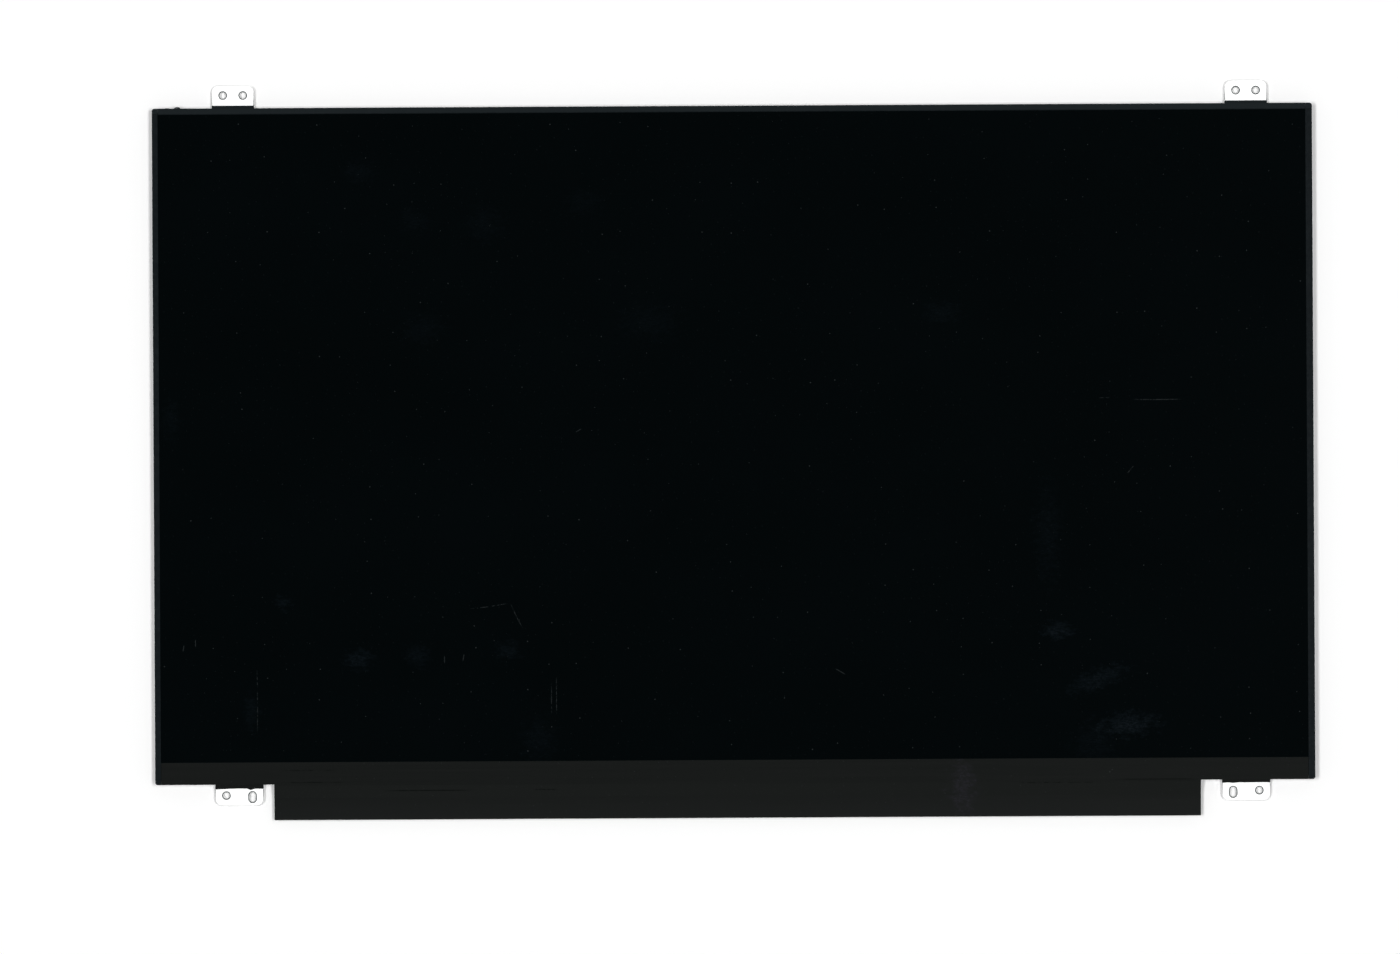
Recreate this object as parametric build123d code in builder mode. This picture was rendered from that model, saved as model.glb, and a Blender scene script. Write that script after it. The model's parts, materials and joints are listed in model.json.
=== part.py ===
from build123d import *
import os

# Laptop screen panel lying on its back: X to the right, Y to the panel's top, Z to the viewer.
# Sizes are in millimetres, and the origin is the middle of the back plate's rear face.

# Outline of the panel, without its brackets and its driver board
frame_width = 359.5
frame_height = 209.6
frame_corner_radius = 0.8

# Layers, in the order in which they lie from the back to the front
plate_thickness = 0.3
reflector_thickness = 0.15
guide_thickness = 0.8
diffuser_thickness = 0.12
prism_thickness = 0.14
sheet_play = 0.12
ledge_thickness = 0.25
cell_tape_thickness = 0.1
rear_polarizer_thickness = 0.18
glass_thickness = 0.3
front_polarizer_thickness = 0.2
tape_thickness = 0.1

# Moulded frame, measured in from the outline
mould_gap = 0.05
mould_chamfer = 0.15
rim_margin = 1.05
pocket_margin = 3.4
ledge_margin = 5.4
lower_pocket_margin = 1.5
lower_ledge_margin = 9.2

# Liquid crystal cell
cell_gap = 0.15
polarizer_inset = 0.15
polarizer_lap = 0.8

# Loose sheets and light guide
sheet_gap = 0.2
sheet_lap = 0.6
sheet_corner = 1.2
ear_length = 12.0
ear_reach = 1.2
ear_pitch = 120.0

# Back plate
plate_bend_radius = 0.45
pan_margin = 3.2
pan_corner_radius = 2.0
corner_relief = 2.0
lug_length = 8.0
lug_height = 0.6
lug_reach = 0.25
lug_gap = 0.1
lug_level = 0.5
side_lug_pitch = 62.0
side_lug_count = 3
end_lug_pitch = 96.0
end_lug_count = 3

# Light strip
led_length = 3.8
led_depth = 1.0
led_height = 0.7
led_pitch = 8.6
led_gap = 0.1
led_window_length = 2.8
led_window_height = 0.4
led_window_depth = 0.15
strip_thickness = 0.12
strip_margin = 0.2
tail_width = 9.0
tail_inset = 30.0
tail_bond = 2.0
tail_run = 1.4
tail_bend_radius = 0.4
tail_gap = 0.15

# Edge tapes and the front cover film
left_tape_front = 1.75
right_tape_front = 2.05
top_tape_front = 1.9
tape_rear = 3.0
tape_seam = 0.1
tape_foot = 0.9
film_band = 6.85
film_wrap = 2.4
film_overhang = 0.4
left_film_foot = 1.65
right_film_foot = 1.3
crease_reach = 0.2
crease_run = 4.2
crease_radius = 1.5

# Driver board under the film's tongue
tongue_left_inset = 36.85
tongue_right_inset = 35.45
tongue_reach = 11.1
board_gap = 0.5
board_thickness = 0.7
board_drop = 1.1
board_corner_radius = 0.5
board_notch_radius = 0.75
board_notch_inset = 62.0

# Flexible circuits and chips between the glass and the board
flex_count = 4
flex_width = 36.0
flex_thickness = 0.06
flex_end_inset = 12.0
flex_bond = 1.6
flex_run = 1.95
flex_bend_radius = 0.4
flex_gap = 0.4
driver_length = 22.0
driver_depth = 1.2
driver_height = 0.35
driver_inset = 3.0

# Mounting brackets
bracket_thickness = 0.4
bracket_bend_radius = 0.2
bracket_drop = 1.6
bracket_side_distance = 3.45
bracket_end_distance = 3.2
bracket_corner_radius = 2.2
hole_diameter = 2.5
slot_length = 3.55
left_hole_inset = 21.95
right_hole_inset = 17.3
upper_hole_pitch = 6.2
lower_hole_pitch = 8.1
upper_hole_reach = 4.05
lower_hole_reach = 3.4
slot_reach = 3.9

# Parts on the back of the driver board
timing_chip_side = 8.0
timing_chip_inset = 88.0
power_chip_side = 5.0
power_chip_inset = 116.0
backlight_chip_side = 4.0
backlight_chip_inset = 46.0
memory_chip_length = 5.0
memory_chip_width = 4.0
memory_chip_inset = 101.0
chip_height = 0.75
chip_chamfer = 0.1
coil_side = 4.0
coil_height = 1.0
coil_corner_radius = 0.8
coil_pitch = 6.4
capacitor_length = 1.6
capacitor_width = 0.8
capacitor_height = 0.8
capacitor_pitch = 1.5
capacitor_column_pitch = 2.4
capacitor_columns = 2
capacitor_rows = 4
capacitor_offset = 14.0
resistor_length = 1.0
resistor_width = 0.5
resistor_height = 0.35
resistor_pitch = 1.1
resistor_column_pitch = 1.5
resistor_columns = 2
resistor_rows = 5
resistor_offset = 19.6

# Video socket
contact_count = 30
contact_pitch = 0.5
contact_width = 0.2
contact_thickness = 0.1
contact_tail = 0.8
socket_wall = 1.8
socket_depth = 3.8
socket_floor = 0.25
socket_mouth_height = 0.4
socket_roof = 0.25
socket_mouth_depth = 2.6
socket_inset = 36.0
socket_edge = 0.6
shell_thickness = 0.12
shell_foot_length = 1.2
shell_foot_width = 1.4

# Heights of the layers above the surface that the panel lies on
border_front = tape_thickness + plate_thickness
guide_back = plate_thickness + reflector_thickness
guide_front = guide_back + guide_thickness
lower_prism_back = guide_front + diffuser_thickness
upper_prism_back = lower_prism_back + prism_thickness
ledge_back = upper_prism_back + prism_thickness + sheet_play
ledge_front = ledge_back + ledge_thickness
rear_polarizer_back = ledge_front + cell_tape_thickness
array_glass_back = rear_polarizer_back + rear_polarizer_thickness
array_glass_front = array_glass_back + glass_thickness
filter_glass_front = array_glass_front + glass_thickness
cell_front = filter_glass_front + front_polarizer_thickness
panel_thickness = cell_front + tape_thickness
board_front = cell_front - board_drop
board_back = board_front - board_thickness

# Places across the panel, measured from its middle
half_width = frame_width / 2
half_height = frame_height / 2
plate_width = frame_width - 2 * tape_thickness
plate_height = frame_height - 2 * tape_thickness
pan_foot = tape_thickness + plate_bend_radius
pan_width = frame_width - 2 * pan_margin
pan_height = frame_height - pan_margin - pan_foot
mould_inset = tape_thickness + plate_thickness + mould_gap
mould_width = frame_width - 2 * mould_inset
mould_height = frame_height - 2 * mould_inset
glass_margin = rim_margin + cell_gap
polarizer_margin = glass_margin + polarizer_inset
polarizer_lower_margin = film_band - polarizer_lap
filter_lower_margin = polarizer_lower_margin - polarizer_inset
sheet_margin = pocket_margin + sheet_gap
strip_lower_margin = lower_pocket_margin + strip_margin
guide_lower_margin = filter_lower_margin
strip_upper_margin = guide_lower_margin - led_gap
strip_length = frame_width - 2 * ledge_margin
sheet_lower_margin = guide_lower_margin + sheet_lap
pocket_width = frame_width - 2 * pocket_margin
film_left = left_tape_front + tape_seam - half_width
film_right = half_width - right_tape_front - tape_seam
tongue_left = tongue_left_inset - half_width
tongue_right = half_width - tongue_right_inset
tongue_width = tongue_right - tongue_left
tongue_middle = (tongue_left + tongue_right) / 2
board_width = tongue_width - 2 * film_overhang
board_left = tongue_left + film_overhang
board_right = tongue_right - film_overhang
board_height = tongue_reach - board_gap - film_overhang
board_middle = -half_height - board_gap - board_height / 2
flex_pitch = (board_width - 2 * flex_end_inset - flex_width) / (flex_count - 1)
flex_places = [tongue_middle + (i - (flex_count - 1) / 2) * flex_pitch for i in range(flex_count)]
tail_place = board_left + tail_inset

# The brackets: the side of the panel (1 for the top, -1 for the bottom), outer and inner hole, and how far
# the tape or film over the bracket's root reaches out along its tab, from the panel's edge
left_hole = left_hole_inset - half_width
right_hole = half_width - right_hole_inset
brackets = {
    "bracket_top_left": (1, left_hole, left_hole + upper_hole_pitch, tape_foot),
    "bracket_top_right": (1, right_hole, right_hole - upper_hole_pitch, tape_foot),
    "bracket_bottom_left": (-1, left_hole, left_hole + lower_hole_pitch, left_film_foot),
    "bracket_bottom_right": (-1, right_hole, right_hole - lower_hole_pitch, right_film_foot),
}
tab_front = cell_front - bracket_drop
tab_back = tab_front - bracket_thickness
bracket_back = half_height - tape_thickness

os.makedirs("parts", exist_ok=True)


def edge_plane(x, outward):
    """Upright plane across the panel's top or bottom edge: its first axis points out of the panel."""
    return Plane(origin=(x, 0, 0), x_dir=(0, outward, 0), z_dir=(outward, 0, 0))


def inset_rectangle(margin, lower_margin):
    """Rectangle that lies one margin inside the panel's sides and top, and another inside its bottom."""
    with Locations((0, (lower_margin - margin) / 2)):
        Rectangle(frame_width - 2 * margin, frame_height - margin - lower_margin)


def outline(inset):
    """The panel's rounded outline, drawn in by a little."""
    RectangleRounded(frame_width - 2 * inset, frame_height - 2 * inset, frame_corner_radius - inset)


def sheet_outline():
    """Outline of a loose sheet: a rectangle with two locating ears at each side."""
    inset_rectangle(sheet_margin, sheet_lower_margin)
    with GridLocations(0, ear_pitch, 1, 2):
        Rectangle(frame_width - 2 * sheet_margin + 2 * ear_reach, ear_length)


def folded_section(points, radii, thickness, side=Side.LEFT):
    """Edges of a bent sheet's section: it follows the points, with its thickness to one side of them."""
    with BuildLine() as section:
        FilletPolyline(*points, radius=radii)
        offset(amount=thickness, side=side)
    return section.edges()


def bracket_span(outer_hole, inner_hole):
    """Middle and width of a bracket with these two holes."""
    return (outer_hole + inner_hole) / 2, abs(outer_hole - inner_hole) + 2 * bracket_side_distance


def root_section(foot):
    """Edges of a cover's section over a bracket's root: down the panel's edge, and out on the tab."""
    return folded_section(
        [
            (half_height + foot, tab_front),
            (bracket_back, tab_front),
            (bracket_back, panel_thickness),
        ],
        bracket_bend_radius,
        tape_thickness,
        Side.RIGHT,
    )


# Back plate: one folded sheet with a shallow pan pressed back, so that the tape round it lies flush
with BuildPart() as back_plate:
    with BuildSketch(Plane.XY.offset(tape_thickness)):
        outline(tape_thickness)
    extrude(amount=ledge_front - tape_thickness)
    fillet(back_plate.faces().sort_by(Axis.Z)[0].edges(), radius=plate_bend_radius)
    with BuildSketch(Plane.XY.offset(border_front)):
        outline(tape_thickness + plate_thickness)
    extrude(amount=ledge_front - border_front, mode=Mode.SUBTRACT)
    with BuildSketch() as pan:
        with Locations((0, (pan_foot - pan_margin) / 2)):
            RectangleRounded(pan_width, pan_height, pan_corner_radius)
    extrude(amount=plate_thickness)
    with BuildSketch(Plane.XY.offset(plate_thickness)):
        add(pan.sketch)
    extrude(amount=tape_thickness, mode=Mode.SUBTRACT)
    # The walls stop short of the corners, where the sheet can't fold both ways
    with BuildSketch(Plane.XY.offset(border_front)):
        with GridLocations(plate_width, plate_height, 2, 2):
            Rectangle(2 * corner_relief, 2 * corner_relief)
    extrude(amount=ledge_front - border_front, mode=Mode.SUBTRACT)
    # Windows for the moulded frame's lugs
    lug_middle = border_front + lug_level + lug_height / 2
    with BuildSketch(Plane.YZ):
        with Locations((0, lug_middle)):
            with GridLocations(side_lug_pitch, 0, side_lug_count, 1):
                Rectangle(lug_length + 2 * lug_gap, lug_height + 2 * lug_gap)
    extrude(amount=half_width, both=True, mode=Mode.SUBTRACT)
    with BuildSketch(Plane.XZ):
        with Locations((0, lug_middle)):
            with GridLocations(end_lug_pitch, 0, end_lug_count, 1):
                Rectangle(lug_length + 2 * lug_gap, lug_height + 2 * lug_gap)
    extrude(amount=half_height, both=True, mode=Mode.SUBTRACT)
    # Way out for the light strip's tail
    with BuildSketch(Plane.XY.offset(plate_thickness)):
        with Locations((tail_place, -half_height)):
            Rectangle(tail_width + 2 * tail_gap, 2 * pan_foot)
    extrude(amount=ledge_front, mode=Mode.SUBTRACT)
back_plate.part.label = "back_plate"
export_step(back_plate.part, "parts/back_plate.step")

# Moulded frame: walls round the light guide, a ledge that carries the cell, and a rim round the cell
with BuildPart() as mould_frame:
    with BuildSketch(Plane.XY.offset(border_front)):
        Rectangle(mould_width, mould_height)
    extrude(amount=ledge_front - border_front)
    chamfer(mould_frame.faces().sort_by(Axis.Z)[0].edges(), length=mould_chamfer)
    chamfer(mould_frame.edges().filter_by(Axis.Z), length=mould_chamfer)
    with BuildSketch(Plane.XY.offset(ledge_front)):
        outline(tape_thickness)
    extrude(amount=cell_front - ledge_front)
    with BuildSketch(Plane.XY.offset(ledge_front)):
        inset_rectangle(rim_margin, rim_margin)
    extrude(amount=cell_front - ledge_front, mode=Mode.SUBTRACT)
    with BuildSketch(Plane.XY.offset(border_front)):
        inset_rectangle(pocket_margin, lower_pocket_margin)
    extrude(amount=ledge_back - border_front, mode=Mode.SUBTRACT)
    with BuildSketch(Plane.XY.offset(guide_front)):
        with GridLocations(0, ear_pitch, 1, 2):
            Rectangle(pocket_width + 2 * ear_reach, ear_length + 2 * sheet_gap)
    extrude(amount=ledge_back - guide_front, mode=Mode.SUBTRACT)
    with BuildSketch(Plane.XY.offset(ledge_back)):
        inset_rectangle(ledge_margin, lower_ledge_margin)
    extrude(amount=ledge_thickness, mode=Mode.SUBTRACT)
    # Lugs that snap into the back plate's windows
    with BuildSketch(Plane.XY.offset(border_front + lug_level)):
        with GridLocations(mould_width, side_lug_pitch, 2, side_lug_count):
            Rectangle(2 * lug_reach, lug_length)
        with GridLocations(end_lug_pitch, mould_height, end_lug_count, 2):
            Rectangle(lug_length, 2 * lug_reach)
    extrude(amount=lug_height)
    # Notches in the rim for the flexible circuits, and a slot under the wall for the light strip's tail
    with BuildSketch(Plane.XY.offset(ledge_front)):
        with Locations(*[(x, -half_height) for x in flex_places]):
            Rectangle(flex_width + 2 * flex_gap, 2 * rim_margin)
    extrude(amount=cell_front - ledge_front, mode=Mode.SUBTRACT)
    with BuildSketch(Plane.XY.offset(plate_thickness)):
        with Locations((tail_place, -half_height)):
            Rectangle(tail_width + 2 * tail_gap, 2 * lower_pocket_margin)
    extrude(amount=strip_thickness + tail_gap, mode=Mode.SUBTRACT)
mould_frame.part.label = "mould_frame"
export_step(mould_frame.part, "parts/mould_frame.step")

# Reflector sheet on the pan
with BuildPart() as reflector_sheet:
    with BuildSketch(Plane.XY.offset(plate_thickness)):
        inset_rectangle(sheet_margin, guide_lower_margin)
    extrude(amount=reflector_thickness)
    chamfer(reflector_sheet.edges().filter_by(Axis.Z).group_by(Axis.Y)[-1], length=sheet_corner)
reflector_sheet.part.label = "reflector_sheet"
export_step(reflector_sheet.part, "parts/reflector_sheet.step")

# Light guide, lit from its lower edge
with BuildPart() as light_guide:
    with BuildSketch(Plane.XY.offset(guide_back)):
        inset_rectangle(sheet_margin, guide_lower_margin)
    extrude(amount=guide_thickness)
    chamfer(light_guide.edges().filter_by(Axis.Z).group_by(Axis.Y)[-1], length=sheet_corner)
light_guide.part.label = "light_guide"
export_step(light_guide.part, "parts/light_guide.step")

# Diffuser and two prism sheets, one on the other
with BuildPart() as diffuser_sheet:
    with BuildSketch(Plane.XY.offset(guide_front)):
        sheet_outline()
    extrude(amount=diffuser_thickness)
diffuser_sheet.part.label = "diffuser_sheet"
export_step(diffuser_sheet.part, "parts/diffuser_sheet.step")

with BuildPart() as lower_prism_sheet:
    with BuildSketch(Plane.XY.offset(lower_prism_back)):
        sheet_outline()
    extrude(amount=prism_thickness)
lower_prism_sheet.part.label = "lower_prism_sheet"
export_step(lower_prism_sheet.part, "parts/lower_prism_sheet.step")

with BuildPart() as upper_prism_sheet:
    with BuildSketch(Plane.XY.offset(upper_prism_back)):
        sheet_outline()
    extrude(amount=prism_thickness)
upper_prism_sheet.part.label = "upper_prism_sheet"
export_step(upper_prism_sheet.part, "parts/upper_prism_sheet.step")

# Light strip: a flexible circuit below the light guide, with a tail that bends up to the driver board
with BuildPart() as light_strip:
    with BuildSketch(Plane.XY.offset(plate_thickness)):
        with Locations((0, (strip_lower_margin + strip_upper_margin) / 2 - half_height)):
            Rectangle(strip_length, strip_upper_margin - strip_lower_margin)
    extrude(amount=strip_thickness)
    with BuildSketch(edge_plane(tail_place, -1)):
        tail_foot = half_height + board_gap + tail_run
        make_face(folded_section(
            [
                (half_height - strip_lower_margin - strip_margin, plate_thickness),
                (half_height + tail_gap, plate_thickness),
                (tail_foot, board_back - strip_thickness),
                (tail_foot + tail_bond, board_back - strip_thickness),
            ],
            tail_bend_radius,
            strip_thickness,
        ))
    extrude(amount=tail_width / 2, both=True)
light_strip.part.label = "light_strip"
export_step(light_strip.part, "parts/light_strip.step")

# Light-emitting diodes along the strip, each with a window towards the light guide
led_count = int((strip_length - led_length) // led_pitch)
led_back = plate_thickness + strip_thickness
led_window_back = led_back + (led_height - led_window_height) / 2
led_face = strip_upper_margin - half_height
with BuildPart() as leds:
    with BuildSketch(Plane.XY.offset(led_back)):
        with Locations((0, led_face - led_depth / 2)):
            with GridLocations(led_pitch, 0, led_count, 1):
                Rectangle(led_length, led_depth)
    extrude(amount=led_height)
    with BuildSketch(Plane.XY.offset(led_window_back)):
        with Locations((0, led_face)):
            with GridLocations(led_pitch, 0, led_count, 1):
                Rectangle(led_window_length, 2 * led_window_depth)
    extrude(amount=led_window_height, mode=Mode.SUBTRACT)
leds.part.label = "leds"
export_step(leds.part, "parts/leds.step")

# Adhesive ring that holds the cell on the moulded ledge
with BuildPart() as cell_tape:
    with BuildSketch(Plane.XY.offset(ledge_front)):
        inset_rectangle(polarizer_margin, polarizer_lower_margin)
        with Locations((0, (lower_ledge_margin - ledge_margin) / 2)):
            Rectangle(
                frame_width - 2 * ledge_margin + 2 * tape_seam,
                frame_height - ledge_margin - lower_ledge_margin + 2 * tape_seam,
                mode=Mode.SUBTRACT,
            )
    extrude(amount=cell_tape_thickness)
cell_tape.part.label = "cell_tape"
export_step(cell_tape.part, "parts/cell_tape.step")

# Liquid crystal cell: polarizers on the outside of two sheets of glass
with BuildPart() as rear_polarizer:
    with BuildSketch(Plane.XY.offset(rear_polarizer_back)):
        inset_rectangle(polarizer_margin, polarizer_lower_margin)
    extrude(amount=rear_polarizer_thickness)
rear_polarizer.part.label = "rear_polarizer"
export_step(rear_polarizer.part, "parts/rear_polarizer.step")

with BuildPart() as array_glass:
    with BuildSketch(Plane.XY.offset(array_glass_back)):
        inset_rectangle(glass_margin, glass_margin)
    extrude(amount=glass_thickness)
array_glass.part.label = "array_glass"
export_step(array_glass.part, "parts/array_glass.step")

with BuildPart() as filter_glass:
    with BuildSketch(Plane.XY.offset(array_glass_front)):
        inset_rectangle(glass_margin, filter_lower_margin)
    extrude(amount=glass_thickness)
filter_glass.part.label = "filter_glass"
export_step(filter_glass.part, "parts/filter_glass.step")

with BuildPart() as front_polarizer:
    with BuildSketch(Plane.XY.offset(filter_glass_front)):
        inset_rectangle(polarizer_margin, polarizer_lower_margin)
    extrude(amount=front_polarizer_thickness)
front_polarizer.part.label = "front_polarizer"
export_step(front_polarizer.part, "parts/front_polarizer.step")

# Driver chips on the array glass, and flexible circuits from the glass down to the driver board
glass_edge = half_height - glass_margin
flex_landing = half_height - rim_margin + flex_run
for number, place in enumerate(flex_places, start=1):
    with BuildPart() as driver_chip:
        with BuildSketch(Plane.XY.offset(array_glass_front)):
            with Locations((place, driver_inset - glass_edge)):
                Rectangle(driver_length, driver_depth)
        extrude(amount=driver_height)
    driver_chip.part.label = f"driver_chip_{number}"
    export_step(driver_chip.part, f"parts/driver_chip_{number}.step")

    with BuildPart() as board_flex:
        with BuildSketch(edge_plane(place, -1)):
            make_face(folded_section(
                [
                    (glass_edge - flex_bond, array_glass_front),
                    (half_height - rim_margin, array_glass_front),
                    (flex_landing, board_front),
                    (flex_landing + flex_bond, board_front),
                ],
                flex_bend_radius,
                flex_thickness,
            ))
        extrude(amount=flex_width / 2, both=True)
    board_flex.part.label = f"board_flex_{number}"
    export_step(board_flex.part, f"parts/board_flex_{number}.step")

# Mounting brackets: a leg that stands against the back plate's wall, bent out into a tab with two holes
for name, (outward, outer_hole, inner_hole, _) in brackets.items():
    middle, width = bracket_span(outer_hole, inner_hole)
    hole_reach = upper_hole_reach if outward > 0 else lower_hole_reach
    hole_line = half_height + hole_reach
    tab_end = hole_line + bracket_end_distance
    with BuildPart() as bracket:
        with BuildSketch(edge_plane(middle, outward)):
            make_face(folded_section(
                [
                    (bracket_back, tape_thickness),
                    (bracket_back, tab_front),
                    (tab_end, tab_front),
                ],
                bracket_bend_radius + bracket_thickness,
                bracket_thickness,
                Side.RIGHT,
            ))
        extrude(amount=width / 2, both=True)
        tab_corners = bracket.edges().filter_by(Axis.Z).sort_by(Axis.Y, reverse=outward > 0)[:2]
        fillet(tab_corners, radius=bracket_corner_radius)
        with BuildSketch(Plane.XY.offset(tab_back)):
            with Locations((outer_hole, outward * hole_line)):
                Circle(hole_diameter / 2)
            if outward > 0:
                with Locations((inner_hole, hole_line)):
                    Circle(hole_diameter / 2)
            else:
                with Locations((inner_hole, -half_height - slot_reach)):
                    SlotOverall(slot_length, hole_diameter, rotation=90)
        extrude(amount=bracket_thickness, mode=Mode.SUBTRACT)
    bracket.part.label = name
    export_step(bracket.part, f"parts/{name}.step")

# Side tapes, folded round the panel's left and right edges and its corners
for side, front_width, outward in (("left", left_tape_front, -1), ("right", right_tape_front, 1)):
    with BuildPart() as side_tape:
        with BuildSketch():
            outline(0)
        extrude(amount=panel_thickness)
        with BuildSketch(Plane.XY.offset(tape_thickness)):
            outline(tape_thickness)
        extrude(amount=panel_thickness - 2 * tape_thickness, mode=Mode.SUBTRACT)
        with BuildSketch():
            with Locations((-outward * tape_rear, 0)):
                Rectangle(frame_width, frame_height)
        extrude(amount=tape_thickness, mode=Mode.SUBTRACT)
        with BuildSketch(Plane.XY.offset(tape_thickness)):
            with Locations((-outward * front_width, 0)):
                Rectangle(frame_width, frame_height)
        extrude(amount=panel_thickness, mode=Mode.SUBTRACT)
    side_tape.part.label = f"{side}_edge_tape"
    export_step(side_tape.part, f"parts/{side}_edge_tape.step")

# Top tape, folded round the top edge, and out over the roots of the two upper brackets
film_middle = (film_left + film_right) / 2
with BuildPart() as top_edge_tape:
    with BuildSketch(edge_plane(film_middle, 1)):
        with BuildLine():
            Polyline(
                (half_height - top_tape_front, panel_thickness),
                (half_height, panel_thickness),
                (half_height, 0),
                (half_height - tape_rear, 0),
            )
            offset(amount=tape_thickness, side=Side.RIGHT, kind=Kind.INTERSECTION)
        make_face()
    extrude(amount=(film_right - film_left) / 2, both=True)
    with BuildSketch():
        with Locations((-half_width, half_height), (half_width, half_height)):
            Rectangle(2 * (tape_rear + tape_seam), 2 * tape_rear)
    extrude(amount=tape_thickness, mode=Mode.SUBTRACT)
    for outward, outer_hole, inner_hole, foot in brackets.values():
        if outward > 0:
            middle, width = bracket_span(outer_hole, inner_hole)
            with BuildSketch(Plane.XY.offset(tape_thickness)):
                with Locations((middle, half_height)):
                    Rectangle(width + 2 * tape_seam, 2 * tape_thickness)
            extrude(amount=cell_front - tape_thickness, mode=Mode.SUBTRACT)
            with BuildSketch(edge_plane(middle, outward)):
                make_face(root_section(foot))
            extrude(amount=width / 2, both=True)
top_edge_tape.part.label = "top_edge_tape"
export_step(top_edge_tape.part, "parts/top_edge_tape.step")

# Front cover film: the lower band, a tongue that slopes down to the driver board, and a flap on each bracket
with BuildPart() as front_cover_film:
    with BuildSketch(Plane.XY.offset(cell_front)):
        with Locations((film_middle, film_band / 2 - half_height)):
            Rectangle(film_right - film_left, film_band)
    extrude(amount=tape_thickness)
    with BuildSketch(Plane.XY.offset(panel_thickness - film_wrap)):
        with Locations((film_middle, tape_thickness / 2 - half_height)):
            Rectangle(film_right - film_left, tape_thickness)
    extrude(amount=film_wrap)
    with BuildSketch(Plane.XY.offset(panel_thickness - film_wrap)):
        with Locations((tongue_middle, -half_height)):
            Rectangle(tongue_width, 2 * tape_thickness)
    extrude(amount=film_wrap - tape_thickness, mode=Mode.SUBTRACT)
    with BuildSketch(edge_plane(tongue_middle, -1)):
        make_face(folded_section(
            [
                (half_height - tape_thickness, cell_front),
                (half_height + crease_reach, cell_front),
                (half_height + crease_reach + crease_run, board_front),
                (half_height + tongue_reach, board_front),
            ],
            crease_radius,
            tape_thickness,
        ))
    extrude(amount=tongue_width / 2, both=True)
    for outward, outer_hole, inner_hole, foot in brackets.values():
        if outward < 0:
            middle, width = bracket_span(outer_hole, inner_hole)
            with BuildSketch(Plane.XY.offset(panel_thickness - film_wrap)):
                with Locations((middle, -half_height)):
                    Rectangle(width + 2 * tape_seam, 2 * tape_thickness)
            extrude(amount=film_wrap - tape_thickness, mode=Mode.SUBTRACT)
            with BuildSketch(edge_plane(middle, outward)):
                make_face(root_section(foot))
            extrude(amount=width / 2, both=True)
front_cover_film.part.label = "front_cover_film"
export_step(front_cover_film.part, "parts/front_cover_film.step")

# Driver board, with two half-round locating notches in its lower edge
with BuildPart() as driver_board:
    with BuildSketch(Plane.XY.offset(board_back)):
        with Locations((tongue_middle, board_middle)):
            RectangleRounded(board_width, board_height, board_corner_radius)
        with Locations((tongue_middle, board_middle - board_height / 2)):
            with GridLocations(board_width - 2 * board_notch_inset, 0, 2, 1):
                Circle(board_notch_radius, mode=Mode.SUBTRACT)
    extrude(amount=board_thickness)
driver_board.part.label = "driver_board"
export_step(driver_board.part, "parts/driver_board.step")

# Chips on the back of the board
backlight_place = board_left + backlight_chip_inset
power_place = board_left + power_chip_inset
timing_place = board_right - timing_chip_inset
memory_place = board_right - memory_chip_inset
socket_place = board_right - socket_inset
chips = {
    "backlight_chip": (backlight_place, backlight_chip_side, backlight_chip_side),
    "power_chip": (power_place, power_chip_side, power_chip_side),
    "timing_chip": (timing_place, timing_chip_side, timing_chip_side),
    "memory_chip": (memory_place, memory_chip_length, memory_chip_width),
}
for name, (place, length, width) in chips.items():
    with BuildPart() as chip:
        with BuildSketch(Plane.XY.offset(board_back - chip_height)):
            with Locations((place, board_middle)):
                Rectangle(length, width)
        extrude(amount=chip_height)
        chamfer(chip.faces().sort_by(Axis.Z)[0].edges(), length=chip_chamfer)
    chip.part.label = name
    export_step(chip.part, f"parts/{name}.step")

# Coils beside the power chip and the backlight chip
coil_places = [power_place - coil_pitch, power_place + coil_pitch, backlight_place + coil_pitch]
with BuildPart() as power_coils:
    with BuildSketch(Plane.XY.offset(board_back - coil_height)):
        with Locations(*[(x, board_middle) for x in coil_places]):
            RectangleRounded(coil_side, coil_side, coil_corner_radius)
    extrude(amount=coil_height)
power_coils.part.label = "power_coils"
export_step(power_coils.part, "parts/power_coils.step")

# Blocks of capacitors beside the chips and the socket, and resistors beyond them
blocks = [(backlight_place, 1), (power_place, -1), (power_place, 1), (timing_place, 1), (socket_place, -1)]
with BuildPart() as capacitors:
    with BuildSketch(Plane.XY.offset(board_back - capacitor_height)):
        with Locations(*[(x + way * capacitor_offset, board_middle) for x, way in blocks]):
            with GridLocations(capacitor_column_pitch, capacitor_pitch, capacitor_columns, capacitor_rows):
                Rectangle(capacitor_length, capacitor_width)
    extrude(amount=capacitor_height)
capacitors.part.label = "capacitors"
export_step(capacitors.part, "parts/capacitors.step")

with BuildPart() as resistors:
    with BuildSketch(Plane.XY.offset(board_back - resistor_height)):
        with Locations(*[(x + way * resistor_offset, board_middle) for x, way in blocks]):
            with GridLocations(resistor_column_pitch, resistor_pitch, resistor_columns, resistor_rows):
                Rectangle(resistor_length, resistor_width)
    extrude(amount=resistor_height)
resistors.part.label = "resistors"
export_step(resistors.part, "parts/resistors.step")

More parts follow.
